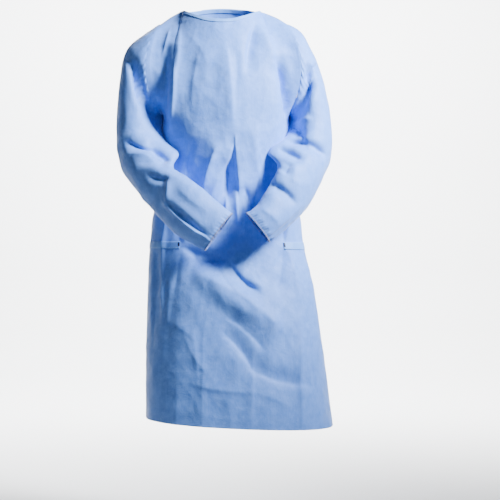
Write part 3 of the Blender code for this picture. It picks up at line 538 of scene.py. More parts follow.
NECK_BACK_Y = 0.078
NECK_BACK_Z = 0.022
SHOULDER_BLADE_FULLNESS = 0.006
NECK_COLUMNS_BACK = 48
LAP = 0.060
LAP_COLUMNS = 16
LAP_STEP = 0.0058
LAP_LEVEL = 0.072
LAP_RAMP = 0.055
LAP_EDGE_DROP = np.array([0.0001, 0.0006, 0.0020])
BACK_CREASE_GAIN = 2.0
BODY_FOLDS_BACK = in_metres(
    Fold,
    (-90, -60, -60, -300, 24, -6),
    (100, -70, 120, -320, 24, -6),
    (-70, -400, -100, -620, 22, -9),
    (-150, -500, -140, -630, 20, 8),
    (110, -440, 120, -625, 22, -9),
    (160, -520, 150, -630, 20, 8),
    (-110, -700, -125, -1130, 24, -12),
    (-180, -720, -195, -1130, 26, 10),
    (130, -700, 150, -1130, 24, -12),
    (185, -720, 225, -1130, 26, 10),
)
CREASES_BACK = in_metres(
    Crease,
    (-120, -50, -132, -220, -3, 11, -0.5, 4.8),
    (118, -50, 128, -240, 4, 11, 0.5, 5),
    (-70, -80, -94, -320, -6, 14, 0.3, -4),
    (88, -70, 98, -280, 6, 14, -0.2, -3.6),
    (-150, -140, -90, -260, 8, 12, 0.2, 2.6),
    (152, -150, 96, -300, -8, 12, -0.2, 2.8),
    (-60, -330, -84, -600, -6, 12, 0.3, 5),
    (-110, -420, -116, -630, 3, 10, -0.2, -5.6),
    (-146, -470, -132, -640, 2, 8, 0.2, 4.4),
    (-36, -520, -46, -640, 1, 7, 0.1, -3.6),
    (72, -350, 92, -610, 8, 12, -0.2, 4.6),
    (118, -440, 116, -640, 3, 10, 0.3, -5.6),
    (150, -490, 138, -640, 2, 8, -0.2, 4.4),
    (48, -540, 56, -640, 1, 7, 0.1, -3.4),
    (-60, -672, -86, -860, -4, 11, 0.3, 5),
    (-128, -672, -150, -1000, -6, 14, -0.3, 5.2),
    (70, -672, 98, -900, 4, 11, -0.2, 4.8),
    (138, -672, 186, -1020, 8, 14, 0.3, 5.2),
    (-60, -900, 60, -985, 8, 12, 0.2, -2.2),
    (80, -1020, 200, -1060, -6, 10, 0.2, 2.4),
    (-180, -1000, -60, -1050, 6, 10, 0.2, 2.2),
    (60, -860, 64, -1140, 0, 9, 0.1, 2),
    (-70, -880, -66, -1140, 0, 9, -0.1, 2),
)


def back_line(line, columns):
    half = at_distances(line[: DENSE // 2 + 1], [0.0])[1]
    laps = half + LAP * np.arange(1, LAP_COLUMNS + 1) / LAP_COLUMNS
    return at_distances(line, np.concatenate([np.linspace(0.0, half, columns + 1), laps]))[0]


def back_grid(side):
    """One back panel, from its side seam (first column) past the centre back (last columns)."""
    sign = SIDE_SIGN[side]
    columns = SHOULDER_COLUMNS + NECK_COLUMNS_BACK
    s = np.clip(np.arange(columns + LAP_COLUMNS + 1) / columns, 0.0, 1.0)
    levels = row_levels()
    lines = [back_line(body_arc(z, sign * 90, sign * 270), columns) for z in levels]
    rows = dipped(lines, levels, 1.0 - s)
    edge = armhole(side)
    edge = np.vstack([edge[:1], edge[::-1][:YOKE_ROWS]])
    rows[0][0] = edge[-1]
    near = np.clip(1.0 - np.arange(len(s)) / SHOULDER_COLUMNS, 0.0, 1.0)
    neck = back_line(neck_arc(NECK_BACK_Y, NECK_BACK_Z, sign * 90, -sign * 90), NECK_COLUMNS_BACK)
    top = np.vstack([shoulder_line(side)[:-1], neck])
    grid = np.vstack([yoke(top, rows[0], [((1.0 - s) ** ARMHOLE_REACH, edge)], near), rows[1:]])
    v = np.linspace(0.0, 1.0, YOKE_ROWS + 1)[:, None]
    grid[: YOKE_ROWS + 1, :, 1] += SHOULDER_BLADE_FULLNESS * np.sin(pi * v) * (1.0 - (1.0 - s) ** 4)
    return grid


def lap_offset(grid):
    steps = np.linalg.norm(np.diff(grid, axis=1), axis=2)
    along = np.concatenate([np.zeros((len(grid), 1)), np.cumsum(steps, axis=1)], axis=1)
    past = along[:, -LAP_COLUMNS - 1][:, None] - along
    return LAP_STEP * smooth_step(1.0 - (past - LAP_LEVEL) / LAP_RAMP)


back_cloth, back_normals, back_sense = {}, {}, {}
for side in ("right", "left"):
    base = back_grid(side)
    sense = sense_of(base, np.array([0.0, 1.0, 0.0]))
    normals = grid_normals(base, sense)
    lift = relief(base, BODY_FOLDS_BACK, CREASES_BACK, BACK_CREASE_GAIN)
    lift = lift * smooth_step(normals[..., 1] * FACING_GAIN)
    lift = (lift + crumples(base, seed=5)) * armhole_fade(base, (0,))
    if side == "left":
        lift = lift + lap_offset(base)
        lift[:, -len(LAP_EDGE_DROP) :] -= LAP_EDGE_DROP
    cloth = base + normals * lift[..., None]
    normals = grid_normals(cloth, sense)
    cloth = edge_valley(cloth, normals, from_edges(cloth, (0,)))
    back_cloth[side], back_normals[side], back_sense[side] = cloth, grid_normals(cloth, sense), sense
    back = cloth_mesh("back_" + side, cloth, sense, blue_cloth)
    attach(back, "root")
    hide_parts("back_panel_" + side)

# Sleeves and cuffs. Each sleeve is a tube of the same cloth, set in with puckers at its head and
# bent at the elbow. Its last few centimetres are drawn in a little and end as an open cuff.

SleeveSection = namedtuple("SleeveSection", "outer inner half_depth bow")
SLEEVE_SECTIONS = {
    "right": in_metres(
        SleeveSection,
        ((-227, 2, -64), (-194, 4, -296), 75, 26),
        ((-268, 2, -101), (-201, -4, -306), 73, 14),
        ((-286, 2, -151), (-199, -16, -322), 68, 6),
        ((-294, 2, -232), (-191, -34, -342), 63, 0),
        ((-296, 2, -307), (-180, -54, -366), 61, 0),
        ((-293, -6, -371), (-168, -86, -394), 56, 0),
        ((-286, -14, -416), (-155, -114, -420), 52, 0),
        ((-268, -32, -457), (-137, -146, -446), 50, 0),
        ((-237, -66, -501), (-96, -174, -472), 47, 0),
        ((-195, -108, -552), (-60, -187, -497), 44, 0),
        ((-126, -158, -623), (-16, -193, -534), 40, 0),
        ((-62, -176, -660), (12, -196, -559), 34, 0),
        ((-46, -178, -668), (26, -196, -570), 30, 0),
    ),
    "left": in_metres(
        SleeveSection,
        ((216, 2, -56), (200, 4, -296), 75, 14),
        ((242, 4, -99), (207, 4, -307), 74, 8),
        ((265, 2, -151), (207, -14, -322), 68, 4),
        ((286, 2, -232), (200, -32, -340), 63, 0),
        ((294, 2, -307), (189, -52, -359), 61, 0),
        ((294, -6, -371), (178, -86, -384), 56, 0),
        ((287, -18, -428), (168, -114, -409), 51, 0),
        ((269, -36, -466), (158, -142, -438), 48, 0),
        ((247, -68, -510), (143, -162, -470), 45, 0),
        ((216, -100, -562), (118, -176, -511), 43, 0),
        ((173, -140, -606), (97, -184, -541), 38, 0),
        ((139, -164, -635), (76, -190, -560), 33, 0),
        ((124, -168, -645), (63, -190, -568), 29, 0),
    ),
}
SLEEVE_STEPS = 16
LAST_UPRIGHT_SECTION = 2
SECTIONS_TO_BEND = 5
FRONTWARD = np.array([0.0, -1.0, 0.0])
SLEEVE_FOLDS_FRONT = {
    "right": in_metres(
        Fold,
        (-262, -130, -226, -236, 14, -9),
        (-222, -165, -204, -262, 13, -7),
        (-255, -375, -200, -378, 14, -8),
        (-200, -378, -160, -415, 13, -8),
        (-198, -466, -165, -472, 14, -6),
        (-152, -520, -60, -600, 16, 7),
        (-140, -560, -60, -622, 14, -8),
    ),
    "left": in_metres(
        Fold,
        (246, -165, 212, -208, 13, -7),
        (246, -190, 196, -270, 13, -8),
        (182, -362, 262, -396, 14, -9),
        (162, -395, 216, -415, 13, -7),
        (130, -490, 180, -530, 13, -6),
        (188, -334, 208, -352, 14, -12),
    ),
}
SLEEVE_FOLDS_BACK = {
    "right": in_metres(
        Fold,
        (-270, -150, -225, -240, 16, -7),
        (-280, -400, -210, -350, 15, -7),
        (-280, -300, -220, -290, 15, 5),
    ),
    "left": in_metres(
        Fold,
        (262, -150, 220, -240, 16, -7),
        (280, -400, 212, -352, 15, -7),
        (280, -300, 224, -290, 15, 5),
    ),
}
SLEEVE_CREASES_FRONT = {
    "right": in_metres(
        Crease,
        (-276, -135, -228, -262, 4, 12, 0.6, -8),
        (-228, -170, -200, -290, -3, 9, 0.55, -8),
        (-205, -80, -222, -160, 4, 9, 0.3, 5),
        (-214, -110, -196, -230, 2, 8, -0.3, 5),
        (-290, -200, -262, -330, 6, 18, 0.1, 3),
        (-262, -372, -188, -386, -6, 9, -0.6, -10),
        (-188, -386, -142, -424, 3, 9, -0.55, -10),
        (-288, -358, -230, -340, -4, 14, 0.2, 3),
        (-276, -412, -190, -414, 10, 12, 0.3, 4),
        (-226, -430, -150, -438, 6, 10, 0.2, -3),
        (-200, -470, -148, -476, -4, 9, -0.3, -6),
        (-146, -484, -150, -548, 3, 7, 0.2, 5),
        (-150, -545, -44, -632, -6, 7, -0.8, 8.5),
        (-116, -500, -40, -560, -6, 16, 0.2, 3),
        (-176, -500, -200, -545, 3, 10, 0.2, -3.5),
    ),
    "left": in_metres(
        Crease,
        (260, -150, 205, -232, -3, 8, 0.55, -6.5),
        (252, -196, 190, -300, -6, 9, 0.55, -8),
        (230, -150, 256, -172, 2, 8, 0.2, 4),
        (274, -190, 240, -290, -5, 14, 0.2, 3),
        (176, -364, 232, -372, 6, 8, -0.5, -8),
        (228, -370, 282, -408, 4, 10, -0.5, -7),
        (156, -392, 216, -420, 4, 10, -0.45, -6.6),
        (184, -318, 216, -356, 4, 10, 0.5, -8),
        (196, -322, 240, -306, 4, 9, 0.2, 4),
        (166, -462, 184, -432, 3, 12, 0.3, -5),
        (198, -430, 190, -500, -3, 14, 0.2, 3),
        (128, -488, 196, -540, 8, 9, -0.45, -6.6),
        (210, -560, 124, -640, 2, 5, 0.3, -2.2),
        (100, -556, 150, -598, 4, 12, 0.2, 2.8),
    ),
}
SLEEVE_CREASES_BACK = {
    "right": in_metres(
        Crease,
        (-276, -140, -220, -262, 6, 12, 0.4, -6),
        (-216, -90, -232, -200, 4, 10, 0.3, 4),
        (-288, -300, -214, -280, -4, 12, 0.3, 3.6),
        (-286, -392, -200, -350, 4, 10, 0.4, -6),
        (-272, -440, -196, -392, 4, 10, -0.3, 4),
        (-210, -520, -140, -540, 4, 10, 0.2, -3.6),
    ),
    "left": in_metres(
        Crease,
        (266, -145, 216, -262, -6, 12, -0.4, -6),
        (212, -95, 232, -195, -4, 10, 0.3, 4),
        (284, -305, 214, -285, 4, 12, 0.3, 3.6),
        (286, -396, 204, -348, -4, 10, -0.4, -6),
        (270, -446, 200, -396, -4, 10, 0.3, 4),
        (214, -520, 160, -545, -4, 10, 0.2, -3.6),
    ),
}
PUCKER_DEPTH = {"right": 0.0030, "left": 0.0018}
PUCKER_REACH = 0.032
PUCKERS = 31
PUCKER_START = 0.005
SLEEVE_HEAD_REACH = 0.045
SLEEVE_FACING_GAIN = 2.5
SLACK_TURN = 1.13 * pi
SLACK_SPREAD = 0.20 * pi
SLACK_Z = -0.346
SLACK_HEIGHT = 0.072
SLACK_CLEARANCE = 0.001
SLACK_MOST = 0.045
SLACK_PLATEAU = 1.6
CUFF_LENGTH_ROWS = 16
CUFF_WAVES = 12
CUFF_GATHER = {"right": 0.0006, "left": 0.0012}
CUFF_FINE_WAVES = 37
CUFF_FINE_GATHER = {"right": 0.0003, "left": 0.0007}


def sleeve_grid(side):
    """Rings from the armhole to the cuff's end."""
    sections = SLEEVE_SECTIONS[side]
    centres = np.array([np.add(s.outer, s.inner) / 2.0 for s in sections])
    ahead = unit(np.gradient(np.vstack([armhole(side).mean(axis=0), centres]), axis=0))[1:]
    turn = full_turn(2 * YOKE_ROWS)[:, None]
    sign = -SIDE_SIGN[side]
    rings = [armhole(side)]
    for number, (section, centre, tangent) in enumerate(zip(sections, centres, ahead)):
        half = (np.array(section.outer) - section.inner) / 2.0
        bent = smooth_step((number - LAST_UPRIGHT_SECTION) / SECTIONS_TO_BEND)
        forward = (1.0 - bent) * FRONTWARD - bent * sign * unit(np.cross(tangent, half))
        forward = unit(forward - (forward @ unit(half)) * unit(half)) * section.half_depth
        bow = np.array([-sign * section.bow, 0.0, 0.0]) * np.sin(turn) ** 2
        rings.append(centre + np.cos(turn) * half + np.sin(turn) * forward + bow)
    at = np.arange(0, (len(rings) - 1) * SLEEVE_STEPS + 1) / SLEEVE_STEPS
    return curve_through(np.arange(len(rings)), np.array(rings), at)


def body_side(side, y, z):
    """How far out the body's side lies at a depth and height, seen from the front."""
    sign = SIDE_SIGN[side]
    levels = [-s.z for s in BODY_SECTIONS]
    centre_x, half_width, front_y, back_y, power = (
        np.interp(-z, levels, [getattr(s, k) for s in BODY_SECTIONS])
        for k in ("centre_x", "half_width", "front", "back", "squareness")
    )
    depth = np.where(y > 0.0, back_y, front_y)
    inside = np.clip(1.0 - (np.abs(y) / depth) ** power, 0.05, 1.0)
    return centre_x + sign * half_width * inside ** (1.0 / power)


def slack(grid, side):
    """Lets the loose cloth behind the crook of the arm hang against the body's side."""
    sign = SIDE_SIGN[side]
    turn = full_turn(grid.shape[1])
    behind = np.exp(-(((turn - SLACK_TURN) / SLACK_SPREAD) ** 2))[None]
    level = np.exp(-(((grid[..., 2] - SLACK_Z) / SLACK_HEIGHT) ** 4))
    target = body_side(side, grid[..., 1], grid[..., 2]) + sign * SLACK_CLEARANCE
    moved = grid.copy()
    inward = np.clip(sign * (grid[..., 0] - target), 0.0, SLACK_MOST) * -sign
    moved[..., 0] += inward * np.clip(SLACK_PLATEAU * behind * level, 0.0, 1.0)
    return moved


def from_armhole(grid):
    """Each point's distance from the sleeve's first ring, along its own line down the sleeve."""
    return np.linalg.norm(grid - grid[0][None], axis=2)


def puckers(grid, side):
    """Uneven gathers on the sleeve, running away from the armhole seam."""
    turn = full_turn(grid.shape[1])
    away = from_armhole(grid)
    wave = np.sin(PUCKERS * turn + 1.7 * np.sin(3.0 * turn) + 0.9 * np.sin(7.0 * turn + 1.0))
    strength = 0.55 + 0.45 * np.sin(2.0 * turn + 0.6) * np.sin(5.0 * turn + 2.0)
    reach = PUCKER_REACH * (0.7 + 0.3 * np.sin(4.0 * turn + 0.5))
    rise = smooth_step(away / PUCKER_START)
    return PUCKER_DEPTH[side] * wave * strength * np.exp(-away / reach) * rise


CUFF_EDGE_ROW = -2
cuff_edge = {}
for side in ("right", "left"):
    base = slack(sleeve_grid(side), side)
    sense = sense_of(base, base - base.mean(axis=1, keepdims=True), closed=True)
    normals = grid_normals(base, sense, closed=True)
    facing = normals[..., 1] * SLEEVE_FACING_GAIN
    lift = relief(base, SLEEVE_FOLDS_FRONT[side], SLEEVE_CREASES_FRONT[side])
    behind = relief(base, SLEEVE_FOLDS_BACK[side], SLEEVE_CREASES_BACK[side])
    lift = lift * smooth_step(-facing) + behind * smooth_step(facing)
    lift = (lift + crumples(base, seed=11)) * smooth_step(from_armhole(base) / SLEEVE_HEAD_REACH)
    lift += puckers(base, side)
    turn = full_turn(base.shape[1])
    split = len(base) - 1 - CUFF_LENGTH_ROWS
    cuff_share = (np.arange(len(base)) - split) * 2.0 / CUFF_LENGTH_ROWS
    fine = np.sin(CUFF_FINE_WAVES * turn + 1.3 * np.sin(4.0 * turn))
    gather = CUFF_GATHER[side] * np.cos(CUFF_WAVES * turn) + CUFF_FINE_GATHER[side] * fine
    lift += smooth_step(cuff_share)[:, None] * gather
    cloth = base + normals * lift[..., None]
    normals = grid_normals(cloth, sense, closed=True)
    cloth = edge_valley(cloth, normals, [from_armhole(cloth)])
    cuff_edge[side] = cloth[CUFF_EDGE_ROW], grid_normals(cloth, sense, closed=True)[CUFF_EDGE_ROW]
    sleeve = cloth_mesh("sleeve_%s_cloth" % side, cloth[: split + 1], sense, blue_cloth, closed=True)
    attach(sleeve, "root")
    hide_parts("sleeve_" + side)
    cuff = cloth_mesh("cuff_%s_cloth" % side, cloth[split:], sense, blue_cloth, closed=True)
    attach(cuff, "root")
    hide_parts("cuff_" + side)

# Neck binding. A narrow strip of the same cloth, folded double over the cut neck edge and sewn
# through with one row of lockstitch. It runs from lap to lap, mitred where it crosses the shoulders.

BINDING_LIFT = 0.0013
BINDING_FOOT_ROW = 8
CORNER_COLUMNS = 8
CORNER_STEPS = 7
CORNER_NUDGE = 0.6
LEG_PLACES = (1.0, 0.8, 0.6, 0.4, 0.2, 0.0)
ROLL_ANGLES = (pi / 4.0, pi / 2.0, 3.0 * pi / 4.0)
TUCKED = 0.0002
Station = namedtuple("Station", "panel column foot_row foot_column")
panels = {
    "front": (front_cloth, front_normals),
    "back_right": (back_cloth["right"], back_normals["right"]),
    "back_left": (back_cloth["left"], back_normals["left"]),
}


def grid_at(grid, row, column):
    """A grid's value at a fractional row and column."""
    r, c = int(min(row, len(grid) - 2)), int(min(column, grid.shape[1] - 2))
    down, across = row - r, column - c
    upper = (1.0 - across) * grid[r, c] + across * grid[r, c + 1]
    lower = (1.0 - across) * grid[r + 1, c] + across * grid[r + 1, c + 1]
    return (1.0 - down) * upper + down * lower


def neck_stations(panel, columns):
    return [Station(panel, c, BINDING_FOOT_ROW, c) for c in columns]


def corner_stations(panel, corner, away):
    """Places that fan out round a shoulder corner, from the neck edge to the shoulder seam."""
    made = []
    for share in np.linspace(0.0, 1.0, CORNER_STEPS):
        column = corner - away * CORNER_NUDGE * (1.0 - share)
        foot_row = BINDING_FOOT_ROW * np.cos(share * pi / 2.0)
        foot_column = column + away * CORNER_COLUMNS * np.sin(share * pi / 2.0)
        made.append(Station(panel, column, foot_row, foot_column))
    return made


def leg_of(station, places):
    """Points on the cloth from the binding's foot to the neck edge, and the way out there."""
    run = station.foot_column - station.column
    at = [(t * station.foot_row, station.column + t * run) for t in places]
    points, out = (np.array([grid_at(grid, *a) for a in at]) for grid in panels[station.panel])
    return points, unit(out)


def binding_section(station):
    leg, out = leg_of(station, LEG_PLACES)
    up = unit(leg[-1] - leg[-2])
    roll = [leg[-1] + (up * np.sin(a) + out[-1] * np.cos(a)) * BINDING_LIFT for a in ROLL_ANGLES]
    outside, inside = leg + out * BINDING_LIFT, leg - out * BINDING_LIFT
    foot, tuck = leg[:1], out[:1] * TUCKED
    return np.vstack([foot + tuck, outside, roll, inside[::-1], foot - tuck])


last_lap = back_cloth["right"].shape[1] - 1
left_corner = SHOULDER_COLUMNS + NECK_COLUMNS_FRONT
stations = neck_stations("back_right", range(last_lap, SHOULDER_COLUMNS, -1))
stations += corner_stations("back_right", SHOULDER_COLUMNS, -1)
stations += corner_stations("front", SHOULDER_COLUMNS, -1)[-2::-1]
stations += neck_stations("front", range(SHOULDER_COLUMNS + 1, left_corner))
stations += corner_stations("front", left_corner, 1)
stations += corner_stations("back_left", SHOULDER_COLUMNS, -1)[-2::-1]
stations += neck_stations("back_left", range(SHOULDER_COLUMNS + 1, last_lap + 1))
TRIM_DEEP = (0.095, 0.285, 0.820)
TRIM_LIGHT = (0.155, 0.380, 0.940)
blue_trim = nonwoven("blue_trim", TRIM_DEEP, TRIM_LIGHT, rough=0.56, crumple=0.15)
binding_grid = np.array([binding_section(s) for s in stations])
binding_out = np.array([leg_of(s, (0.5,))[1][0] for s in stations])
binding_sense = sense_of(binding_grid[:, 1 : len(LEG_PLACES)], binding_out[:, None])
binding = cloth_mesh("binding", binding_grid, binding_sense, blue_trim)
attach(binding, "root")
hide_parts("neck_binding")

# Nape fastener. A small hook-and-loop patch between the two laps, just under the binding. It closes
# the neck and is hidden while the gown is shut.

PATCH_ROWS = slice(10, 17)
PATCH_COLUMNS = slice(96, 105)
PATCH_LOW = 0.0004
PATCH_HIGH = 0.0026


def raised(points, out, low, high):
    """A grid of points lifted off the cloth, with an edge all round that comes down to it."""
    wide = ((1, 1), (1, 1), (0, 0))
    lift = np.pad(np.zeros(points.shape[:2]) + high, 1, constant_values=low)
    return np.pad(points, wide, mode="edge") + np.pad(out, wide, mode="edge") * lift[..., None]


patch_points = back_cloth["right"][PATCH_ROWS, PATCH_COLUMNS]
patch_out = back_normals["right"][PATCH_ROWS, PATCH_COLUMNS]
patch_grid = raised(patch_points, patch_out, PATCH_LOW, PATCH_HIGH)
patch = cloth_mesh("nape_patch", patch_grid, back_sense["right"], blue_trim)
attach(patch, "root")
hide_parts("nape_fastener")

# Waist ties. Two flat folded strips, each bar-tacked to the front at one end. They pass round the
# sides, turn down at the centre back under the knot and hang free.

TACK_X = {"right": -0.117, "left": 0.162}
TIE_LOW = 0.0003
TIE_HIGH = 0.0015
TAIL_HIGH = 0.0025
TIE_TURN_RADIUS = 0.024
TIE_BACK_GAP = 0.004
TURN_CLEARANCE = 0.003
TURN_STEPS = 12
TAIL_STEPS = 44
TAIL_CURVE = 1.5
TAIL_LENGTH = {"right": 0.190, "left": 0.215}
TAIL_SPREAD = {"right": 0.014, "left": 0.022}
TAIL_WAVE = 0.0012
TAIL_WAVES = 3.0
LAP_CLIMB = 0.020
CLIMB_STEPS = 8
BACK_MIDDLE_X = 0.008


def back_depth(x, z):
    """How far back the left back lies at a place near the centre back."""
    found = []
    for c in range(back_cloth["left"].shape[1] - 3 * LAP_COLUMNS, back_cloth["left"].shape[1]):
        line = back_cloth["left"][:, c]
        found.append([np.interp(-z, -line[:, 2], line[:, k]) for k in (0, 1)])
    found.sort()
    return np.interp(x, [f[0] for f in found], [f[1] for f in found])


def tie_columns(cloth, normals, keep):
    """The tie's rows of a panel as a list of (points, way out) for the columns whose x is kept."""
    rows = slice(TIE_ROW, TIE_ROW + TIE_ROWS + 1)
    columns = [c for c in range(cloth.shape[1]) if keep(cloth[TIE_ROW, c, 0])]
    return [(cloth[rows, c], normals[rows, c]) for c in columns]


def turn_middle_x(side):
    return BACK_MIDDLE_X + SIDE_SIGN[side] * (TIE_BACK_GAP + TIE_TURN_RADIUS)


def tie_level(side):
    """The tie's stretch from the tack round to its turn."""
    sign, turn_x = SIDE_SIGN[side], turn_middle_x(side)
    over, over_out = back_cloth["left"], back_normals["left"]
    on_front = tie_columns(front_cloth, front_normals, lambda x: sign * x > sign * TACK_X[side])
    if side == "left":
        return on_front + tie_columns(over, over_out, lambda x: x > turn_x + TURN_CLEARANCE)[1:]
    lap_edge = over[TIE_ROW, -1, 0]
    lower, lower_out = back_cloth["right"], back_normals["right"]
    under = tie_columns(lower, lower_out, lambda x: x < lap_edge - LAP_CLIMB)[1:]
    above = tie_columns(over, over_out, lambda x: x < turn_x - TURN_CLEARANCE)[::-1]
    climb = []
    for share in np.linspace(0.0, 1.0, CLIMB_STEPS + 2)[1:-1]:
        rise = np.array([share, smooth_step(share), share])
        points = under[-1][0] + (above[0][0] - under[-1][0]) * rise
        climb.append((points, unit(under[-1][1] + above[0][1])))
    return on_front[::-1] + under + climb + above


def tie_tail(side):
    """The turn downwards beside the centre back, and the hanging end."""
    sign = SIDE_SIGN[side]
    pivot = np.array([turn_middle_x(side), TIE_TOP_Z - TIE_TURN_RADIUS])
    lines = []
    for turn in np.linspace(0.0, pi / 2.0, TURN_STEPS + 1):
        out = np.array([-sign * np.sin(turn), np.cos(turn)])
        reach = np.linspace(TIE_TURN_RADIUS, TIE_TURN_RADIUS - TIE_WIDTH, TIE_ROWS + 1)
        lines.append(pivot + out * reach[:, None])
    for share in np.linspace(0.0, 1.0, TAIL_STEPS + 1)[1:]:
        move = np.array([sign * TAIL_SPREAD[side] * share**TAIL_CURVE, -TAIL_LENGTH[side] * share])
        lines.append(lines[TURN_STEPS] + move)
    return [np.array([(x, back_depth(x, z), z) for x, z in line]) for line in lines]


TACK_ROW = 1
TACK_LENGTH_ROWS = 5
TIE_SEAM_PLACE = 0.75
TIE_SEAM_HALF_WIDTH = 0.05
TIE_SEAM_DENT = 0.22
tack_lines, tie_edges = {}, {}
for side in ("right", "left"):
    level = tie_level(side)
    tail = tie_tail(side)
    points = np.array([pair[0] for pair in level] + tail)
    tail_out = np.tile([0.0, 1.0, 0.0], (TIE_ROWS + 1, 1))
    out = np.array([pair[1] for pair in level] + [tail_out] * len(tail))
    into_tail = smooth_step((np.arange(len(points)) - len(level) + TURN_STEPS) / (2.0 * TURN_STEPS))
    wave = np.clip(np.arange(len(points)) - len(level) - TURN_STEPS, 0, None) / TAIL_STEPS
    ripple = TAIL_WAVE * np.sin(TAIL_WAVES * pi * wave) ** 2 * wave
    high = TIE_HIGH + (TAIL_HIGH - TIE_HIGH) * into_tail + ripple
    from_seam = np.abs(np.abs(np.linspace(-1.0, 1.0, TIE_ROWS + 1)) - TIE_SEAM_PLACE)
    lift = high[:, None] * (1.0 - TIE_SEAM_DENT * (from_seam < TIE_SEAM_HALF_WIDTH))
    tie_grid = raised(points, out, TIE_LOW, lift)
    tie_sense = sense_of(tie_grid[1:-1, 1:-1], out)
    tie = cloth_mesh("waist_tie_%s_cloth" % side, tie_grid, tie_sense, blue_trim)
    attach(tie, "root")
    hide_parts("waist_tie_" + side)
    tie_edges[side] = [(tie_grid[1:-1, row], out[:, row - 1]) for row in (2, TIE_ROWS)]
    tack = slice(TACK_ROW, TACK_ROW + TACK_LENGTH_ROWS)
    tack_lines[side] = (tie_grid[2, 1:-1][tack], out[1][tack])

# Waist knot. The two ties cross once and are pulled tight, so it is a flat lump of folded strip, with
# one strip's wrap standing out across the other's folds.

KNOT_HALF = (0.0165, 0.0056, 0.0135)
KNOT_SQUARENESS = 0.62
KNOT_WRAP_WIDTH = 0.0065
KNOT_WRAP_RISE = 0.0010
KNOT_WRAP_EDGE = 0.0016
KNOT_WRAP_SLANT = (0.88, 0.0, 0.47)
KNOT_FOLD_SLANT = (0.30, 0.0, -0.95)
KNOT_FOLD = 0.0007
KNOT_FOLD_PITCH = 0.0062
KNOT_SEAT = 0.0030
KNOT_RINGS = 36
KNOT_POLE = 0.02
KNOT_FOOT_X = (-0.012, 0.0, 0.012)
KNOT_FOOT_Z = (-0.009, 0.0, 0.009)


def rounded_power(value, power):
    return np.sign(value) * np.abs(value) ** power


lean, round_ = np.meshgrid(
    np.linspace(-pi / 2.0 + KNOT_POLE, pi / 2.0 - KNOT_POLE, KNOT_RINGS),
    full_turn(2 * KNOT_RINGS),
    indexing="ij",
)
across = rounded_power(np.cos(lean), KNOT_SQUARENESS)
shape = np.stack([
    across * rounded_power(np.cos(round_), KNOT_SQUARENESS),
    across * rounded_power(np.sin(round_), KNOT_SQUARENESS),
    rounded_power(np.sin(lean), KNOT_SQUARENESS),
], axis=-1)
knot_points = shape * np.array(KNOT_HALF)
folds = KNOT_FOLD * np.cos(2.0 * pi * (knot_points @ KNOT_FOLD_SLANT) / KNOT_FOLD_PITCH)
wrap = smooth_step((KNOT_WRAP_WIDTH - np.abs(knot_points @ KNOT_WRAP_SLANT)) / KNOT_WRAP_EDGE)
knot_points += unit(shape) * (folds * (1.0 - wrap) + KNOT_WRAP_RISE * wrap)[..., None]
knot_z = TIE_TOP_Z - TIE_WIDTH / 2.0
knot_seat = max(back_depth(BACK_MIDDLE_X + x, knot_z + z) for x in KNOT_FOOT_X for z in KNOT_FOOT_Z)
knot_points += np.array([BACK_MIDDLE_X, knot_seat + KNOT_SEAT + KNOT_HALF[1], knot_z])
knot_sense = sense_of(knot_points, shape, closed=True)
knot = cloth_mesh("knot", knot_points, knot_sense, blue_trim, closed=True)
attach(knot, "root")
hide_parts("waist_knot")

# Stitching. Lockstitch along the binding and the ties, a dark bar tack where each tie is fixed to the
# front, and a grey overlocked edge round each cuff. One tree lays the stitches along a line.

LOCKSTITCH = {"Spacing": 0.0042, "Length": 0.0032, "Thread": 0.0005, "Turn": 0.0}
BAR_TACK = {"Spacing": 0.0007, "Length": 0.0065, "Thread": 0.0010, "Turn": pi / 2.0}
OVERLOCK = {"Spacing": 0.0016, "Length": 0.0055, "Thread": 0.0008, "Turn": pi / 2.4}
STITCH_LIFT = 0.0002
# How much lighter the thread's painted highlights are than its own colour
THREAD_HIGHLIGHT = 1.5


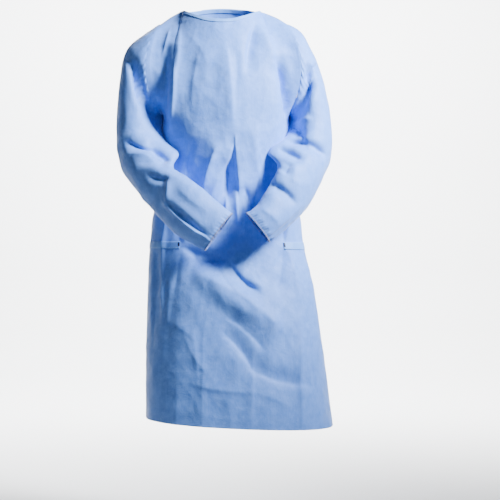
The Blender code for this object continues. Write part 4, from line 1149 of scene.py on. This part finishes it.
def stitch_tree():
    """A node tree that lays short threads along a line, each lying flat against the line's cloth."""
    tree = bpy.data.node_groups.new("stitches", "GeometryNodeTree")
    kinds = {"Line": "Geometry", **dict.fromkeys(LOCKSTITCH, "Float"), "Thread Material": "Material"}
    for name, kind in kinds.items():
        tree.interface.new_socket(name, in_out="INPUT", socket_type="NodeSocket" + kind)
    tree.interface.new_socket("Stitches", in_out="OUTPUT", socket_type="NodeSocketGeometry")
    given = tree.nodes.new("NodeGroupInput").outputs
    curve = add_node(tree, "GeometryNodeMeshToCurve", {"Mesh": given["Line"]}).outputs["Curve"]
    spacing = {"Curve": curve, "Length": given["Spacing"]}
    even = add_node(tree, "GeometryNodeResampleCurve", spacing, mode="LENGTH")
    thread = add_node(tree, "GeometryNodeMeshUVSphere", {"Segments": 6, "Rings": 4, "Radius": 0.5})
    slender = {"X": given["Length"], "Y": given["Thread"], "Z": given["Thread"]}
    size = add_node(tree, "ShaderNodeCombineXYZ", slender)
    tangent = add_node(tree, "GeometryNodeInputTangent", {}).outputs["Tangent"]
    out = add_node(tree, "GeometryNodeInputNamedAttribute", {"Name": "out"}, data_type="FLOAT_VECTOR")
    align = "FunctionNodeAlignRotationToVector"
    along = add_node(tree, align, {"Vector": tangent}, axis="X")
    facing_out = {"Rotation": along.outputs["Rotation"], "Vector": out.outputs["Attribute"]}
    flat = add_node(tree, align, facing_out, axis="Z", pivot_axis="X")
    about_out = {"Axis": (0.0, 0.0, 1.0), "Angle": given["Turn"]}
    spin = add_node(tree, "FunctionNodeAxisAngleToRotation", about_out)
    both_turns = {"Rotation": flat.outputs["Rotation"], "Rotate By": spin.outputs["Rotation"]}
    turned = add_node(tree, "FunctionNodeRotateRotation", both_turns, rotation_space="LOCAL")
    placing = {
        "Points": even.outputs["Curve"],
        "Instance": thread.outputs["Mesh"],
        "Rotation": turned.outputs["Rotation"],
        "Scale": size.outputs["Vector"],
    }
    laid = add_node(tree, "GeometryNodeInstanceOnPoints", placing).outputs["Instances"]
    real = add_node(tree, "GeometryNodeRealizeInstances", {"Geometry": laid}).outputs["Geometry"]
    coloured = {"Geometry": real, "Material": given["Thread Material"]}
    painted = add_node(tree, "GeometryNodeSetMaterial", coloured)
    add_node(tree, "NodeGroupOutput", {"Stitches": painted.outputs["Geometry"]})
    return tree


def thread_material(name, colour):
    """Thread of one colour, a little lighter in places: painted highlights, standing in for the light
    that twisted fibres catch.
    """
    made = bpy.data.materials.new(name)
    made.use_nodes = True
    tree = made.node_tree
    place = add_node(tree, "ShaderNodeTexCoord", {}).outputs["Object"]
    # Spots of painted highlight, laid out by fine noise
    painted_glints = add_node(tree, "ShaderNodeTexNoise", {"Vector": place, "Scale": 900.0}).outputs["Fac"]
    colours = {"Color1": (*colour, 1.0), "Color2": (*[c * THREAD_HIGHLIGHT for c in colour], 1.0)}
    mix = add_node(tree, "ShaderNodeMixRGB", {"Fac": painted_glints, **colours})
    surface = {"Base Color": mix.outputs["Color"], "Roughness": 0.5}
    set_inputs(tree, tree.nodes["Principled BSDF"], surface)
    return made


def sew(name, lines, stitch, thread):
    """Lays stitches along lines of (points, way out), as one plain mesh."""
    mesh = bpy.data.meshes.new(name)
    points = np.vstack([line + out * STITCH_LIFT for line, out in lines])
    starts = np.cumsum([0] + [len(line) for line, _ in lines])
    edges = [(n, n + 1) for a, b in zip(starts, starts[1:]) for n in range(a, b - 1)]
    mesh.from_pydata(points.tolist(), edges, [])
    outs = mesh.attributes.new("out", "FLOAT_VECTOR", "POINT")
    outs.data.foreach_set("vector", np.vstack([out for _, out in lines]).astype(np.float32).ravel())
    sewn = add_object(name, mesh)
    modifier = sewn.modifiers.new("stitches", "NODES")
    modifier.node_group = STITCHES
    values = dict(stitch, **{"Thread Material": thread})
    for item in STITCHES.interface.items_tree:
        if item.item_type == "SOCKET" and item.in_out == "INPUT" and item.name in values:
            modifier[item.identifier] = values[item.name]
    bpy.context.view_layer.update()
    evaluated = sewn.evaluated_get(bpy.context.evaluated_depsgraph_get())
    plain = bpy.data.meshes.new_from_object(evaluated)
    sewn.modifiers.remove(modifier)
    sewn.data = plain
    plain.shade_smooth()
    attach(sewn, "root")
    return sewn


STITCHES = stitch_tree()
blue_thread = thread_material("blue_thread", (0.30, 0.46, 0.74))
dark_thread = thread_material("dark_thread", (0.008, 0.012, 0.035))
grey_thread = thread_material("grey_thread", (0.22, 0.22, 0.33))
SEAM_IN_BINDING = 0.20
binding_line = binding_grid[:, 1] + SEAM_IN_BINDING * (binding_grid[:, 2] - binding_grid[:, 1])
sew("binding_stitches", [(binding_line, binding_out)], LOCKSTITCH, blue_thread)
for side in ("right", "left"):
    sew("tie_stitches_" + side, tie_edges[side], LOCKSTITCH, blue_thread)
    sew("bar_tack_" + side, [tack_lines[side]], BAR_TACK, dark_thread)
    ring, ring_out = cuff_edge[side]
    closed_ring = np.vstack([ring, ring[:1]]), np.vstack([ring_out, ring_out[:1]])
    sew("cuff_overlock_" + side, [closed_ring], OVERLOCK, grey_thread)

# Floor, light and camera. A pale floor that sweeps up into the background, one key light high in
# front on the wearer's left, a weak fill, and a wide light on the background. The camera is level.

floor_mesh = bpy.data.meshes.new("floor")
FLOOR_Z = -1.50
FLOOR_HALF_WIDTH = 9.0
FLOOR_SWEEP = ((-6.0, 0.0), (3.5, 0.0), (4.2, 0.07), (4.7, 0.30), (5.0, 0.70), (5.1, 1.4), (5.1, 7.0))
floor_sides = (-FLOOR_HALF_WIDTH, FLOOR_HALF_WIDTH)
floor_points = [(x, y, FLOOR_Z + h) for y, h in FLOOR_SWEEP for x in floor_sides]
floor_faces = [(2 * i, 2 * i + 1, 2 * i + 3, 2 * i + 2) for i in range(len(FLOOR_SWEEP) - 1)]
floor_mesh.from_pydata(floor_points, [], floor_faces)
floor_mesh.shade_smooth()
floor = add_object("floor", floor_mesh)
floor_paint = bpy.data.materials.new("floor_paint")
floor_paint.use_nodes = True
floor_tree = floor_paint.node_tree
pale_matt = {"Base Color": (0.88, 0.89, 0.90, 1.0), "Roughness": 0.9}
set_inputs(floor_tree, floor_tree.nodes["Principled BSDF"], pale_matt)
floor_mesh.materials.append(floor_paint)


def area_light(name, place, aim, size, energy):
    data = bpy.data.lights.new(name, "AREA")
    data.shape = "RECTANGLE"
    data.size, data.size_y = size
    data.energy = energy
    made = add_object(name, data)
    made.location = place
    made.rotation_euler = (Vector(aim) - Vector(place)).to_track_quat("-Z", "Y").to_euler()
    return made


KEY_PLACE = (1.98, -1.32, 1.10)
key = area_light("key", place=KEY_PLACE, aim=(0.18, 0.0, -0.22), size=(0.75, 0.75), energy=30.0)
key.data.spread = 0.23 * pi
area_light("fill", place=(-1.0, -2.8, 0.7), aim=(0.0, 0.0, -0.35), size=(1.4, 1.4), energy=5.0)
area_light("backdrop", place=(0.0, 2.2, 1.6), aim=(0.0, 5.1, -0.4), size=(5.0, 1.0), energy=1050.0)
world = bpy.data.worlds.new("studio")
world.use_nodes = True
cool_and_dim = {"Color": (0.92, 0.95, 1.0, 1.0), "Strength": 0.11}
set_inputs(world.node_tree, world.node_tree.nodes["Background"], cool_and_dim)
bpy.context.scene.world = world

camera = add_object("camera", bpy.data.cameras.new("camera"))
camera.data.lens = 90.0
camera.location = (0.0728, -3.5, -0.6664)
camera.rotation_euler = (pi / 2.0, 0.0, 0.0)
bpy.context.scene.camera = camera

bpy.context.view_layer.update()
